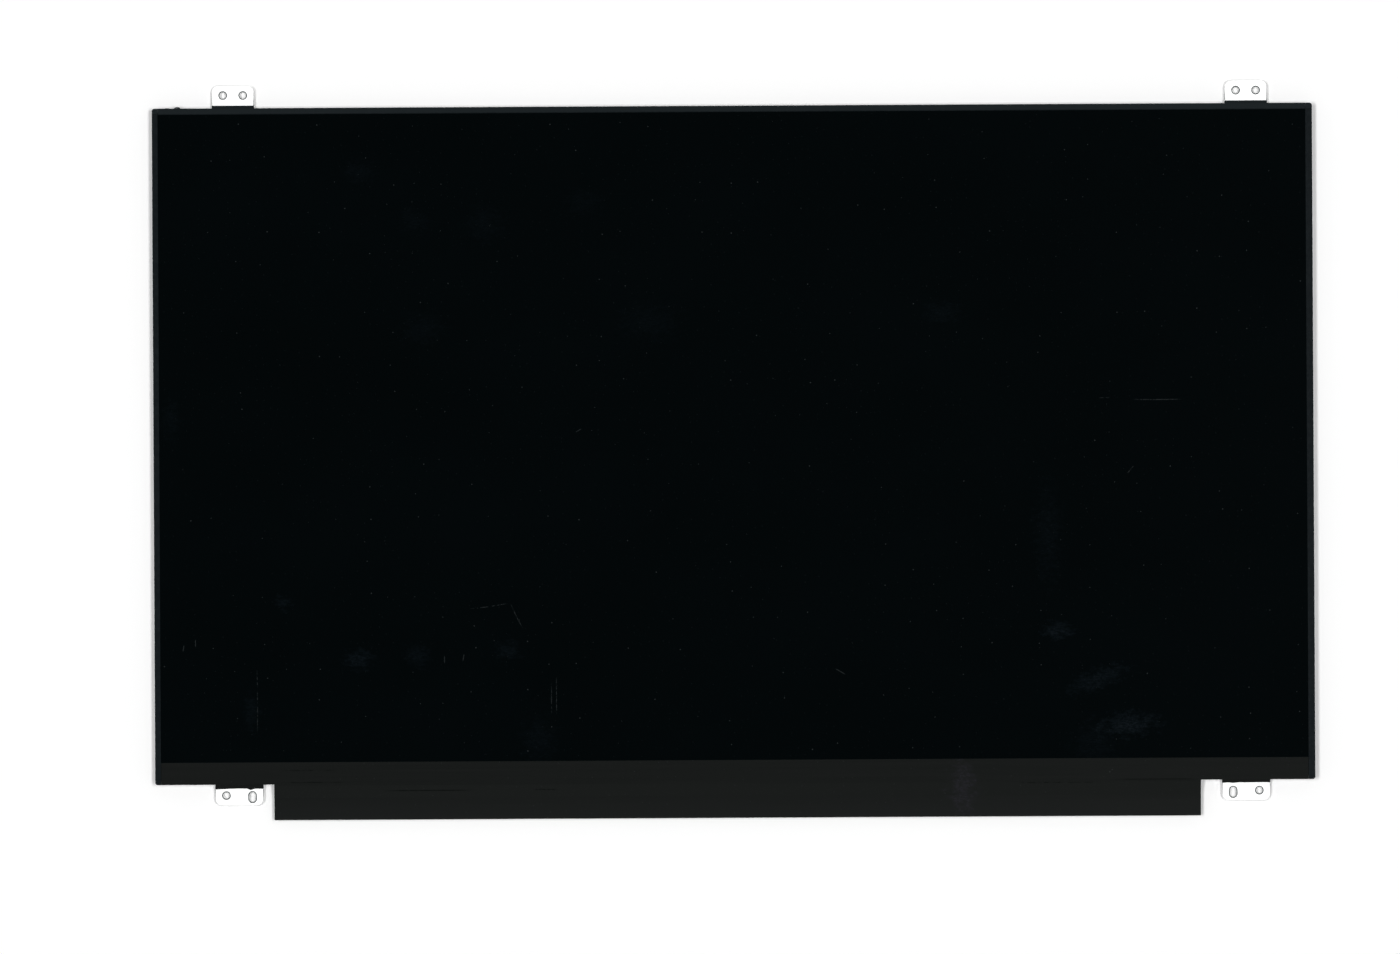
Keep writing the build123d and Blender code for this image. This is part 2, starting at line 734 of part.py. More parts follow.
# Video socket on the back of the board, with its mouth towards the board's lower edge
socket_mouth = board_middle - board_height / 2 + socket_edge
socket_back = socket_mouth + socket_depth
socket_middle = socket_mouth + socket_depth / 2
contact_span = (contact_count - 1) * contact_pitch
contact_row = contact_span + contact_width
socket_length = contact_row + 2 * socket_wall
socket_height = socket_floor + socket_mouth_height + socket_roof
contact_places = [socket_place - contact_span / 2 + i * contact_pitch for i in range(contact_count)]
with BuildPart() as socket_contacts:
    with BuildSketch(*[edge_plane(x, 1) for x in contact_places]):
        with BuildLine():
            Polyline(
                (socket_mouth + socket_wall / 2, board_back - socket_floor),
                (socket_back + contact_thickness, board_back - socket_floor),
                (socket_back + contact_thickness, board_back),
                (socket_back + contact_tail, board_back),
                (socket_back + contact_tail, board_back - contact_thickness),
                (socket_back + 2 * contact_thickness, board_back - contact_thickness),
                (socket_back + 2 * contact_thickness, board_back - socket_floor - contact_thickness),
                (socket_mouth + socket_wall / 2, board_back - socket_floor - contact_thickness),
                close=True,
            )
        make_face()
    extrude(amount=contact_width / 2, both=True)
socket_contacts.part.label = "socket_contacts"
export_step(socket_contacts.part, "parts/socket_contacts.step")

with BuildPart() as socket_housing:
    with BuildSketch(Plane.XY.offset(board_back - socket_height)):
        with Locations((socket_place, socket_middle)):
            Rectangle(socket_length, socket_depth)
    extrude(amount=socket_height)
    with BuildSketch(Plane.XY.offset(board_back - socket_floor - socket_mouth_height)):
        with Locations((socket_place, socket_mouth)):
            Rectangle(contact_row + socket_wall, 2 * socket_mouth_depth)
    extrude(amount=socket_mouth_height, mode=Mode.SUBTRACT)
    add(socket_contacts.part, mode=Mode.SUBTRACT)
socket_housing.part.label = "socket_housing"
export_step(socket_housing.part, "parts/socket_housing.step")

with BuildPart() as socket_shell:
    with BuildSketch(Plane.XY.offset(board_back - socket_height - shell_thickness)):
        with Locations((socket_place, socket_middle)):
            Rectangle(socket_length + 2 * shell_thickness, socket_depth)
    extrude(amount=socket_height + shell_thickness)
    with BuildSketch(Plane.XY.offset(board_back - socket_height)):
        with Locations((socket_place, socket_middle)):
            Rectangle(socket_length, socket_depth)
    extrude(amount=socket_height, mode=Mode.SUBTRACT)
    with BuildSketch(Plane.XY.offset(board_back - shell_thickness)):
        with Locations((socket_place, socket_middle)):
            with GridLocations(socket_length + shell_foot_width + shell_thickness, 0, 2, 1):
                Rectangle(shell_foot_width, shell_foot_length)
    extrude(amount=shell_thickness)
socket_shell.part.label = "socket_shell"
export_step(socket_shell.part, "parts/socket_shell.step")
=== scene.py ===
# %% [markdown]
# A laptop screen panel lies on its back, with its black face to the viewer. Its CAD model already has
# every solid at its real size, so this lesson only dresses it: a camera straight above, a pale floor,
# soft light, a finish for each material, and the small formed pieces that are too fine for the CAD model.
# The CAD model loads first, and its box is kept, because nothing that is added may reach outside it.

# %% Load the frame
import json
import math

import bmesh
import bpy
from mathutils import Matrix, Vector


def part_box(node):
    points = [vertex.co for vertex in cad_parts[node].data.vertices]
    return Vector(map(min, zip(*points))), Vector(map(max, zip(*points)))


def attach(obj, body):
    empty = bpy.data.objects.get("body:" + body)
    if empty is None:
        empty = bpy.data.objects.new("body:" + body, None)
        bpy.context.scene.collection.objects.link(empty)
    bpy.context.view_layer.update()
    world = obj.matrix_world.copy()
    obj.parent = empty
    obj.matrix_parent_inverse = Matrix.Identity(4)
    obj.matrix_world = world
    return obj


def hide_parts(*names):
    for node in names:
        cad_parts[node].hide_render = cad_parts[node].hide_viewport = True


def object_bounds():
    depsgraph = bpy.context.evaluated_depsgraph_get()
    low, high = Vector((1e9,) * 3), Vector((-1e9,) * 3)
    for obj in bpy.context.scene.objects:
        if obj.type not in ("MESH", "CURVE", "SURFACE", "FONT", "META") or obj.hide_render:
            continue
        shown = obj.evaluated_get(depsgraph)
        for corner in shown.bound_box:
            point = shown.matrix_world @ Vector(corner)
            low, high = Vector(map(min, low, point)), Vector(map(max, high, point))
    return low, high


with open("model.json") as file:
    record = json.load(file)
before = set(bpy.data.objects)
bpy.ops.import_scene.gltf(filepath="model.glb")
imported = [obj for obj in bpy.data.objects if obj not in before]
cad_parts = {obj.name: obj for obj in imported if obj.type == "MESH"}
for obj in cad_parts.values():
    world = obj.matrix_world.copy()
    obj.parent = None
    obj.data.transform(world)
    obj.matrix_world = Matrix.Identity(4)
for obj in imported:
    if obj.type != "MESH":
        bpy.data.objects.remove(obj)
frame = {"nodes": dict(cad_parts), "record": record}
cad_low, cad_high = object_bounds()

MM = 0.001
nodes = frame["nodes"]
panel_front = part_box("front_polarizer")[1].z
print("nodes:", len(nodes), "size in mm:", [round(x / MM, 2) for x in cad_high - cad_low])

# %% [markdown]
# The photograph looks straight down on the panel, which lies a little askew in it. One could turn the
# panel, but the CAD frame never moves, so the camera turns instead. A long lens keeps the view nearly
# parallel, as in a flat scan. The same few measured values later turn a pixel of the photograph into a
# place on the panel.

# %% Camera
PHOTO_WIDTH_PX = 1400
PHOTO_HEIGHT_PX = 954
MM_PER_PX = 0.30989
PANEL_MIDDLE_PX = (733.05, 443.4)
PANEL_TURN = math.radians(0.305)
LENS_MM = 250.0
SENSOR_MM = 36.0


def on_panel(u, v):
    """The place on the panel, in millimetres, that a pixel of the photograph shows."""
    right = u - PANEL_MIDDLE_PX[0]
    down = v - PANEL_MIDDLE_PX[1]
    x = right * math.cos(PANEL_TURN) - down * math.sin(PANEL_TURN)
    y = -right * math.sin(PANEL_TURN) - down * math.cos(PANEL_TURN)
    return Vector((x, y, 0.0)) * MM_PER_PX


view_middle = on_panel((PHOTO_WIDTH_PX - 1) / 2, (PHOTO_HEIGHT_PX - 1) / 2) * MM
view_width = PHOTO_WIDTH_PX * MM_PER_PX * MM
view_distance = view_width * LENS_MM / SENSOR_MM
bpy.ops.object.select_all(action="DESELECT")
bpy.ops.object.camera_add(
    location=(view_middle.x, view_middle.y, panel_front + view_distance), rotation=(0, 0, -PANEL_TURN)
)
camera = bpy.context.object
camera.name = "photo_camera"
camera.data.lens = LENS_MM
camera.data.sensor_width = SENSOR_MM
bpy.context.scene.camera = camera
bpy.context.scene.view_settings.view_transform = "Standard"
print("camera height in m:", round(camera.location.z, 3))

# %% [markdown]
# A material is a tree of nodes, and writing each node out in full would bury the idea of a finish under
# its wiring. These helpers add a node, set or join its sockets, and do one step of arithmetic or colour
# mixing.

# %% Short ways to join nodes
def put(tree, socket, value):
    """Joins a socket to an output, or sets it to a plain value."""
    if isinstance(value, bpy.types.NodeSocket):
        tree.links.new(value, socket)
    else:
        socket.default_value = value


def add(tree, kind, settings=None, **values):
    """Adds a shader node: settings are its own choices, values go to the sockets of those names."""
    node = tree.nodes.new("ShaderNode" + kind)
    for name, value in (settings or {}).items():
        setattr(node, name, value)
    for name, value in values.items():
        put(tree, node.inputs[name.replace("_", " ")], value)
    return node


def calc(tree, operation, *values):
    """One step of arithmetic, and its result."""
    node = add(tree, "Math", {"operation": operation})
    for socket, value in zip(node.inputs, values):
        put(tree, socket, value)
    return node.outputs[0]


def times(tree, first, second):
    """The product of two values."""
    return calc(tree, "MULTIPLY", first, second)


def fit(tree, value, low, high, start=0.0, end=1.0):
    """A value moved from one range to another, and held inside it."""
    node = add(tree, "MapRange", None, Value=value, From_Min=low, From_Max=high, To_Min=start, To_Max=end)
    return node.outputs[0]


# A Mix node has sockets for each kind of data, and these are the numbers of those for colours
MIX_INPUTS = (0, 6, 7)
MIX_RESULT = 2


def mix(tree, share, first, second):
    """Two colours mixed: all of the first at 0, all of the second at 1."""
    node = add(tree, "Mix", {"data_type": "RGBA"})
    for number, value in zip(MIX_INPUTS, (share, first, second)):
        put(tree, node.inputs[number], value)
    return node.outputs[MIX_RESULT]


def strongest(tree, masks):
    """The strongest of several masks at each point."""
    total = masks[0]
    for one in masks[1:]:
        total = calc(tree, "MAXIMUM", total, one)
    return total


def rgb(red, green, blue):
    """A colour."""
    return (red, green, blue, 1.0)


# %% [markdown]
# The floor stands for the pale sheet behind the panel. The photograph burns it out to plain white, all
# but the thin shadows beside the panel. More light would also burn out the brackets, so the floor is
# given a brighter colour for the rays that see it than for the light that it sends back. From below it
# lets the view through, so that the back of the panel can be looked at too. For what is seen directly it
# lets the lamp below through, and for the back plate, which nearly touches it, the world below. It stops
# that light from going on up, which would wash out the shadows under the brackets.

# %% Floor
FLOOR_SIZE = 40.0
FLOOR_GAP = 0.05 * MM
FLOOR_COLOUR = rgb(0.5, 0.505, 0.51)
FIRST_SHADOW_RAY = 1.5
SHORT_RAY = 0.5 * MM
FLOOR_SHOWN = rgb(1.05, 1.05, 1.05)
SEEING_RAYS = ("Is Camera Ray", "Is Glossy Ray", "Is Transmission Ray")

bpy.ops.object.select_all(action="DESELECT")
bpy.ops.mesh.primitive_plane_add(size=FLOOR_SIZE, location=(0, 0, -FLOOR_GAP))
floor = bpy.context.object
floor.name = "floor"
floor_finish = bpy.data.materials.new("floor_finish")
floor_finish.use_nodes = True
tree = floor_finish.node_tree
tree.nodes.remove(tree.nodes["Principled BSDF"])
ray = add(tree, "LightPath").outputs
seen = strongest(tree, [ray[kind] for kind in SEEING_RAYS])
paper = add(tree, "BsdfDiffuse", None, Color=mix(tree, seen, FLOOR_COLOUR, FLOOR_SHOWN))
see_through = add(tree, "BsdfTransparent")
from_below = add(tree, "NewGeometry").outputs["Backfacing"]
first_ray = calc(tree, "LESS_THAN", ray["Ray Depth"], FIRST_SHADOW_RAY)
for_lamps = times(tree, ray["Is Shadow Ray"], first_ray)
for_plate = calc(tree, "LESS_THAN", ray["Ray Length"], SHORT_RAY)
sides = add(tree, "MixShader", None, Fac=strongest(tree, [from_below, for_lamps, for_plate]))
put(tree, sides.inputs[1], paper.outputs[0])
put(tree, sides.inputs[2], see_through.outputs[0])
put(tree, tree.nodes["Material Output"].inputs["Surface"], sides.outputs[0])
floor.data.materials.append(floor_finish)
print("floor:", floor.name, "at", round(floor.location.z / MM, 3), "mm")

# %% [markdown]
# A glossy black face mirrors whatever hangs above it. To stay black in this view it needs a dark ceiling,
# and the walls may be pale. So the world is pale near the horizon and dim overhead. Two long soft lamps
# stand left and right, a little off the vertical: satin metal catches them and turns bright, and each
# side of the panel gets the thin half shadow that the photograph shows. They stand far off, so that the
# light is as even as in a flat scan. A third lamp below lights only the back.

# %% Light
WALL_LEVEL = 0.45
CEILING_LEVEL = 0.012
WALL_TOP = 0.3
CEILING_START = 0.88
LAMP_DISTANCE = 20.0
LEFT_LAMP_TILT = math.radians(-24)
RIGHT_LAMP_TILT = math.radians(20)
LAMP_WIDTH = 4.0
LAMP_LENGTH = 8.8
SIDE_LAMP_SHARE = 0.41
BACK_LAMP_TILT = math.radians(146)
BACK_LAMP_SIDE = 16.0
BACK_LAMP_SHARE = 0.3

world = bpy.data.worlds.new("studio")
bpy.context.scene.world = world
world.use_nodes = True
tree = world.node_tree
direction = add(tree, "TexCoord").outputs["Generated"]
height = add(tree, "SeparateXYZ", None, Vector=direction).outputs["Z"]
level = fit(tree, height, WALL_TOP, CEILING_START, WALL_LEVEL, CEILING_LEVEL)
put(tree, tree.nodes["Background"].inputs["Color"], level)


def lamp(name, tilt, width, length, share):
    """A soft lamp, leaning from straight above by the tilt, that gives this share of the light level."""
    bpy.ops.object.select_all(action="DESELECT")
    place = Vector((math.sin(tilt), 0, math.cos(tilt))) * LAMP_DISTANCE
    bpy.ops.object.light_add(type="AREA", location=place, rotation=(0, tilt, 0))
    made = bpy.context.object
    made.name = name
    made.data.shape = "RECTANGLE"
    made.data.size = width
    made.data.size_y = length
    made.data.energy = share * math.pi ** 2 * LAMP_DISTANCE ** 2 / abs(math.cos(tilt))
    made.visible_camera = False
    return made


lamps = [
    lamp("left_lamp", LEFT_LAMP_TILT, LAMP_WIDTH, LAMP_LENGTH, SIDE_LAMP_SHARE),
    lamp("right_lamp", RIGHT_LAMP_TILT, LAMP_WIDTH, LAMP_LENGTH, SIDE_LAMP_SHARE),
    lamp("back_lamp", BACK_LAMP_TILT, BACK_LAMP_SIDE, BACK_LAMP_SIDE, BACK_LAMP_SHARE),
]
print("lamps:", [(one.name, round(one.data.energy, 1)) for one in lamps])

# %% [markdown]
# Nearly every surface here shows the same few effects: a grain from rolling or moulding, specks of dust,
# soft smudges and scratches. Each effect is a node group that is built once and placed in a material with
# its own values. A group takes the surface point in millimetres, so its sizes can be read as real sizes.

# %% Groups for grain, dust, smudges and scratches
SPECK_EDGE = (1.0, 0.4)
BLOTCH_MM = (2.6, 1.5, 1.0)
STREAK_MM = (1.1, 0.45, 1.0)
STREAK_TONES = (0.38, 0.64)
RAGGEDNESS = 3.4
SMUDGE_EDGE = (1.2, 0.1)
LEAST_SMUDGE = 0.2
SCRATCH_ACROSS = (1.0, 0.3)
SCRATCH_ALONG = (1.0, 0.6)
GAP_MM = 0.9
GAP_SOFTNESS = 0.15
MARK_VECTORS = ["Point", "Place", "Turn", "Size"]


def new_group(name, vectors, numbers, output):
    """An empty node group, with its input sockets by name and its one output socket."""
    tree = bpy.data.node_groups.new(name, "ShaderNodeTree")
    for kind, sockets in (("Vector", vectors), ("Float", numbers)):
        for socket in sockets:
            tree.interface.new_socket(socket, in_out="INPUT", socket_type="NodeSocket" + kind)
    tree.interface.new_socket(output, in_out="OUTPUT", socket_type="NodeSocketFloat")
    return tree, tree.nodes.new("NodeGroupInput").outputs, tree.nodes.new("NodeGroupOutput").inputs[output]


def use(tree, group, **values):
    """Places a group in a material, and gives back its output."""
    node = tree.nodes.new("ShaderNodeGroup")
    node.node_tree = group
    for name, value in values.items():
        put(tree, node.inputs[name], value)
    return node.outputs[0]


def in_units(tree, point, unit):
    """A point measured in a unit of its own."""
    node = add(tree, "VectorMath", {"operation": "DIVIDE"})
    put(tree, node.inputs[0], point)
    put(tree, node.inputs[1], unit)
    return node.outputs[0]


grain, given, result = new_group("grain", ["Point", "Size"], ["Roughen"], "Shade")
stretched = in_units(grain, given["Point"], given["Size"])
cloud = add(grain, "TexNoise", None, Vector=stretched, Scale=1.0, Detail=3.0, Roughness=given["Roughen"])
put(grain, result, cloud.outputs["Fac"])

dust, given, result = new_group("dust", ["Point"], ["Spacing", "Size", "Share"], "Mask")
cells = in_units(dust, given["Point"], given["Spacing"])
speck = add(dust, "TexVoronoi", {"voronoi_dimensions": "2D"}, Vector=cells, Scale=1.0)
chance = add(dust, "SeparateColor", None, Color=speck.outputs["Color"]).outputs
radius = calc(dust, "DIVIDE", times(dust, given["Size"], chance["Red"]), given["Spacing"])
inside = fit(dust, calc(dust, "DIVIDE", speck.outputs["Distance"], radius), *SPECK_EDGE)
there = calc(dust, "LESS_THAN", chance["Green"], given["Share"])
put(dust, result, times(dust, inside, there))


def placed(tree, given):
    """The point as seen from a mark on the surface, in the mark's own half lengths."""
    node = add(
        tree, "Mapping", {"vector_type": "TEXTURE"},
        Vector=given["Point"], Location=given["Place"], Rotation=given["Turn"], Scale=given["Size"],
    )
    return add(tree, "SeparateXYZ", None, Vector=node.outputs[0]).outputs


smudge, given, result = new_group("smudge", MARK_VECTORS, [], "Mask")
x, y, _ = placed(smudge, given)
away = calc(smudge, "SQRT", calc(smudge, "ADD", times(smudge, x, x), times(smudge, y, y)))
blotches = use(smudge, grain, Point=given["Point"], Size=BLOTCH_MM, Roughen=0.7)
streaks = use(smudge, grain, Point=given["Point"], Size=STREAK_MM, Roughen=0.7)
ragged = calc(smudge, "ADD", away, times(smudge, calc(smudge, "SUBTRACT", 0.5, blotches), RAGGEDNESS))
soft = fit(smudge, ragged, *SMUDGE_EDGE)
put(smudge, result, times(smudge, soft, fit(smudge, streaks, *STREAK_TONES, LEAST_SMUDGE)))

scratch, given, result = new_group("scratch", MARK_VECTORS, ["Bow", "Gaps"], "Mask")
x, y, _ = placed(scratch, given)
bent = calc(scratch, "SUBTRACT", y, times(scratch, given["Bow"], times(scratch, x, x)))
across = fit(scratch, calc(scratch, "ABSOLUTE", bent), *SCRATCH_ACROSS)
along = fit(scratch, calc(scratch, "ABSOLUTE", x), *SCRATCH_ALONG)
broken = use(scratch, grain, Point=given["Point"], Size=[GAP_MM] * 3, Roughen=0.6)
kept = fit(scratch, calc(scratch, "SUBTRACT", broken, given["Gaps"]), 0.0, GAP_SOFTNESS)
put(scratch, result, times(scratch, kept, times(scratch, across, along)))
print("groups:", [one.name for one in bpy.data.node_groups])

# %% [markdown]
# Every material below starts the same way: a Principled shader with its plain values set on its own
# sockets, and the surface point in millimetres. Object coordinates are used, because a CAD node sits at
# the origin, so its own coordinates are the panel's. The finishes are kept by the name of the material
# slot they stand for.

# %% Start of a material
finishes = {}


def new_finish(slot, **values):
    """A material for a slot: its node tree, its shader and the surface point in millimetres."""
    material = bpy.data.materials.new(slot)
    material.use_nodes = True
    tree = material.node_tree
    shader = tree.nodes["Principled BSDF"]
    for name, value in values.items():
        put(tree, shader.inputs[name.replace("_", " ")], value)
    scaled = add(tree, "VectorMath", {"operation": "SCALE"}, Scale=1 / MM)
    put(tree, scaled.inputs[0], add(tree, "TexCoord").outputs["Object"])
    finishes[slot] = material
    return tree, shader, scaled.outputs[0]


def dress(tree, shader, colour, rough, height, depth_mm):
    """Joins a colour and a roughness to the shader, and a height to its normal through a Bump node."""
    put(tree, shader.inputs["Base Color"], colour)
    put(tree, shader.inputs["Roughness"], rough)
    bump = add(tree, "Bump", None, Height=height, Distance=depth_mm * MM, Strength=1.0)
    put(tree, shader.inputs["Normal"], bump.outputs[0])


def sprinkle(tree, point, spacing, size, share, strength):
    """Dust of a given spacing and size, on a share of its places, and of a given strength."""
    return times(tree, use(tree, dust, Point=point, Spacing=spacing, Size=size, Share=share), strength)


# %% [markdown]
# The face is a smooth black polarizing film. In the photograph it is darker than anything round it, with
# a touch of green, and it carries wear: soft smudges, a few scratches, and specks of dust all over.
# Painting one big texture would be one way. Here each mark is a placed group, so it can be moved or taken
# away by itself. A smudge scatters light, so it makes the film both paler and rougher.

# %% Black polarizer
FACE_BLACK = rgb(0.0005, 0.0016, 0.0019)
SMUDGE_GREY = rgb(0.0044, 0.0072, 0.0098)
SCRATCH_GREY = rgb(0.013, 0.016, 0.017)
DUST_GREY = rgb(0.05, 0.056, 0.058)
SCRATCH_WIDTH_PX = 1.2
HAZE_MM = (60.0, 45.0, 1.0)
HAZE_TONES = (0.35, 0.75)
HAZE_STRENGTH = 0.06
FINE_DUST = (2.2, 0.14, 0.5, 0.2)
COARSE_DUST = (8.0, 0.24, 0.55, 0.5)
SMUDGE_ROUGHENS = 0.5
FACE_GLOSS = (0.08, 0.16)

# Middle in the photograph, length and width there, turn in degrees, and strength
SMUDGES = [
    (1057, 630, 30, 16, 0, 1.0),
    (1098, 678, 62, 20, 20, 0.75),
    (1127, 724, 60, 24, 6, 1.0),
    (359, 659, 20, 28, 90, 0.8),
    (417, 655, 22, 24, 90, 0.45),
    (508, 650, 24, 20, 0, 0.5),
    (283, 602, 15, 15, 0, 0.6),
    (251, 712, 15, 34, 0, 0.45),
    (538, 739, 34, 44, 0, 0.3),
    (1094, 741, 46, 40, 0, 0.3),
    (359, 171, 24, 30, 90, 0.28),
    (413, 220, 30, 26, 0, 0.24),
    (485, 223, 40, 34, 0, 0.24),
    (582, 202, 34, 26, 0, 0.2),
    (648, 321, 60, 36, 0, 0.22),
    (421, 329, 44, 30, 10, 0.24),
    (941, 312, 36, 22, 0, 0.32),
    (170, 420, 18, 40, 0, 0.3),
    (1047, 534, 26, 92, 0, 0.3),
]

# Middle in the photograph, length there, turn in degrees, bow, and how broken it is
SCRATCHES = [
    (1157, 399, 50, 0, 0.4, 0.36),
    (1108, 397, 24, 2, 0.0, 0.5),
    (489, 606, 40, 8, 1.0, 0.45),
    (516, 616, 30, -64, 0.8, 0.43),
    (551, 697, 34, 90, 0.0, 0.44),
    (556, 695, 38, 90, 0.0, 0.38),
    (257, 700, 66, 90, 0.6, 0.46),
    (840, 671, 12, -30, 0.0, 0.3),
    (183, 648, 7, 80, 0.0, 0.3),
    (195, 643, 8, 90, 0.0, 0.3),
    (444, 659, 8, 90, 0.0, 0.3),
    (463, 657, 8, 80, 0.0, 0.35),
    (1130, 469, 10, 50, 0.0, 0.35),
    (578, 430, 7, 30, 0.0, 0.3),
]


def mark_values(u, v, length, width, turn):
    """Place, turn and size, in millimetres, of a mark that is measured in the photograph."""
    return {
        "Place": on_panel(u, v),
        "Turn": (0, 0, math.radians(turn)),
        "Size": (length * MM_PER_PX / 2, width * MM_PER_PX / 2, 1.0),
    }


tree, shader, point = new_finish("black_polarizer", Specular_IOR_Level=0.4, IOR=1.5)
smudges = strongest(tree, [
    times(tree, use(tree, smudge, Point=point, **mark_values(u, v, length, width, turn)), strength)
    for u, v, length, width, turn, strength in SMUDGES
])
scratches = strongest(tree, [
    use(tree, scratch, Point=point, Bow=bow, Gaps=gaps, **mark_values(u, v, length, SCRATCH_WIDTH_PX, turn))
    for u, v, length, turn, bow, gaps in SCRATCHES
])
haze = fit(tree, use(tree, grain, Point=point, Size=HAZE_MM, Roughen=0.55), *HAZE_TONES)
fine_dust = sprinkle(tree, point, *FINE_DUST)
specks = calc(tree, "MAXIMUM", fine_dust, sprinkle(tree, point, *COARSE_DUST))
colour = mix(tree, times(tree, haze, HAZE_STRENGTH), FACE_BLACK, SMUDGE_GREY)
colour = mix(tree, smudges, colour, SMUDGE_GREY)
colour = mix(tree, scratches, colour, SCRATCH_GREY)
put(tree, shader.inputs["Base Color"], mix(tree, specks, colour, DUST_GREY))
worn = strongest(tree, [times(tree, smudges, SMUDGE_ROUGHENS), scratches, specks])
put(tree, shader.inputs["Roughness"], fit(tree, worn, 0.0, 1.0, *FACE_GLOSS))
print("polarizer:", len(SMUDGES), "smudges,", len(SCRATCHES), "scratches")

# %% [markdown]
# Two black plastics frame the face. The tape round the rim is smooth and a little paler in rubbed
# patches, and a painted sheen makes a band along the top paler still, for the light that falls there.
# The film below the face is matt, with faint streaks along its length from the way it was rolled. Where
# the film bends down to the driver board, its sloping faces get a painted sheen, and the film grows a
# little paler towards its lower end. Its creases are painted darker, as painted shade. Both are thin, so
# their surface is not quite flat: a slow wave in the bump breaks up their reflections.

# %% Black tape and black film
TAPE_BLACK = rgb(0.0061, 0.0087, 0.0102)
# Paler tape, used both for rubbed patches and for the painted sheen along the top
TAPE_WORN_AND_LIT = rgb(0.0118, 0.016, 0.0179)
TAPE_WAVE_MM = (9.0, 7.0, 2.0)
TAPE_WAVE_DEPTH_MM = 0.02
TAPE_RUB_MM = (1.2, 1.2, 0.6)
TAPE_DUST = (3.0, 0.16, 0.4, 0.3)
TAPE_GLOSS = (0.12, 0.13)
TOP_RIM_MM = 1.6
TOP_RIM_SOFT_MM = 0.1
# Painted sheen: how far the band along the top is made paler, for the light that falls there
TOP_RIM_PAINTED_SHEEN = 0.85
RUB_TONES = (0.4, 0.75)
RUB_WEAR = 0.6
GRAIN_TONES = (0.3, 0.7)
ROLLED_TONES = (0.35, 0.7)
FILM_BLACK = rgb(0.0078, 0.009, 0.0085)
FILM_PALE = rgb(0.009, 0.0101, 0.0096)
FILM_PATCH = rgb(0.019, 0.0184, 0.024)
# Painted sheen on the film's sloping faces where it bends down
FILM_SLOPE_SHEEN = rgb(0.0099, 0.0112, 0.0106)
# The film's tone at its lower end
FILM_LOWER_END = rgb(0.0107, 0.0119, 0.0116)
# Painted shade in the film's creases
FILM_CREASE_SHADE = rgb(0.0035, 0.0045, 0.004)
FILM_STREAK_MM = (55.0, 0.7, 0.7)
FILM_WAVE_MM = (22.0, 9.0, 4.0)
FILM_WAVE_DEPTH_MM = 0.03
FILM_DUST = (2.6, 0.2, 0.45, 0.22)
FILM_GLOSS = (0.118, 0.126)
CRUMBS = (0.9, 0.4, 0.8, 1.0)
PATCH_STRENGTH = 0.8
FLAT_SLOPE = 0.999
STEEP_SLOPE = 0.968
PATCH_PX = (963, 788, 28, 56, 0)
CRUMBS_PX = (1114, 771, 14, 8, 0)
CREASE_WIDTH_PX = 1.7
# Painted crease shade: middle in the photograph, length there, and how broken each dark line is
CREASE_SHADES = [
    (428, 790, 92, 0.3), (1157, 778.5, 92, 0.26), (312, 782, 66, 0.4),
    (308, 770, 58, 0.42), (545, 789, 26, 0.38), (1057, 782, 88, 0.46),
]

rim_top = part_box("left_edge_tape")[1].y
tree, shader, point = new_finish("black_tape", IOR=1.5)
wave = use(tree, grain, Point=point, Size=TAPE_WAVE_MM, Roughen=0.5)
rubbed = use(tree, grain, Point=point, Size=TAPE_RUB_MM, Roughen=0.7)
specks = sprinkle(tree, point, *TAPE_DUST)
_, y, _ = add(tree, "SeparateXYZ", None, Vector=point).outputs
top_rim = rim_top / MM - TOP_RIM_MM
# Painted sheen along the top band of the tape
painted_top_sheen = fit(tree, y, top_rim - TOP_RIM_SOFT_MM, top_rim, 0.0, TOP_RIM_PAINTED_SHEEN)
rubbed_share = fit(tree, rubbed, *RUB_TONES, 0.0, RUB_WEAR)
colour = mix(tree, calc(tree, "MAXIMUM", rubbed_share, painted_top_sheen), TAPE_BLACK, TAPE_WORN_AND_LIT)
rough = fit(tree, rubbed, *GRAIN_TONES, *TAPE_GLOSS)
dress(tree, shader, mix(tree, specks, colour, DUST_GREY), rough, wave, TAPE_WAVE_DEPTH_MM)

tree, shader, point = new_finish("black_film", IOR=1.5)
streaks = use(tree, grain, Point=point, Size=FILM_STREAK_MM, Roughen=0.6)
wave = use(tree, grain, Point=point, Size=FILM_WAVE_MM, Roughen=0.45)
patch = use(tree, smudge, Point=point, **mark_values(*PATCH_PX))
crumb_spot = use(tree, smudge, Point=point, **mark_values(*CRUMBS_PX))
crumbs = times(tree, crumb_spot, sprinkle(tree, point, *CRUMBS))
specks = sprinkle(tree, point, *FILM_DUST)
normal = add(tree, "NewGeometry").outputs["True Normal"]
facing = add(tree, "SeparateXYZ", None, Vector=normal).outputs["Z"]
colour = mix(tree, fit(tree, streaks, *ROLLED_TONES), FILM_BLACK, FILM_PALE)
# Sloping faces are painted paler: a painted sheen for the light they catch
colour = mix(tree, fit(tree, facing, FLAT_SLOPE, STEEP_SLOPE), colour, FILM_SLOPE_SHEEN)
_, y, _ = add(tree, "SeparateXYZ", None, Vector=point).outputs
film_low, film_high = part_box("front_cover_film")
# The film grows paler towards its lower end
towards_lower_end = fit(tree, y, (film_low.y + film_high.y) / 2 / MM, film_low.y / MM)
colour = mix(tree, towards_lower_end, colour, FILM_LOWER_END)
crease_shade = strongest(tree, [
    use(tree, scratch, Point=point, Bow=0.0, Gaps=gaps, **mark_values(u, v, length, CREASE_WIDTH_PX, 0))
    for u, v, length, gaps in CREASE_SHADES
])
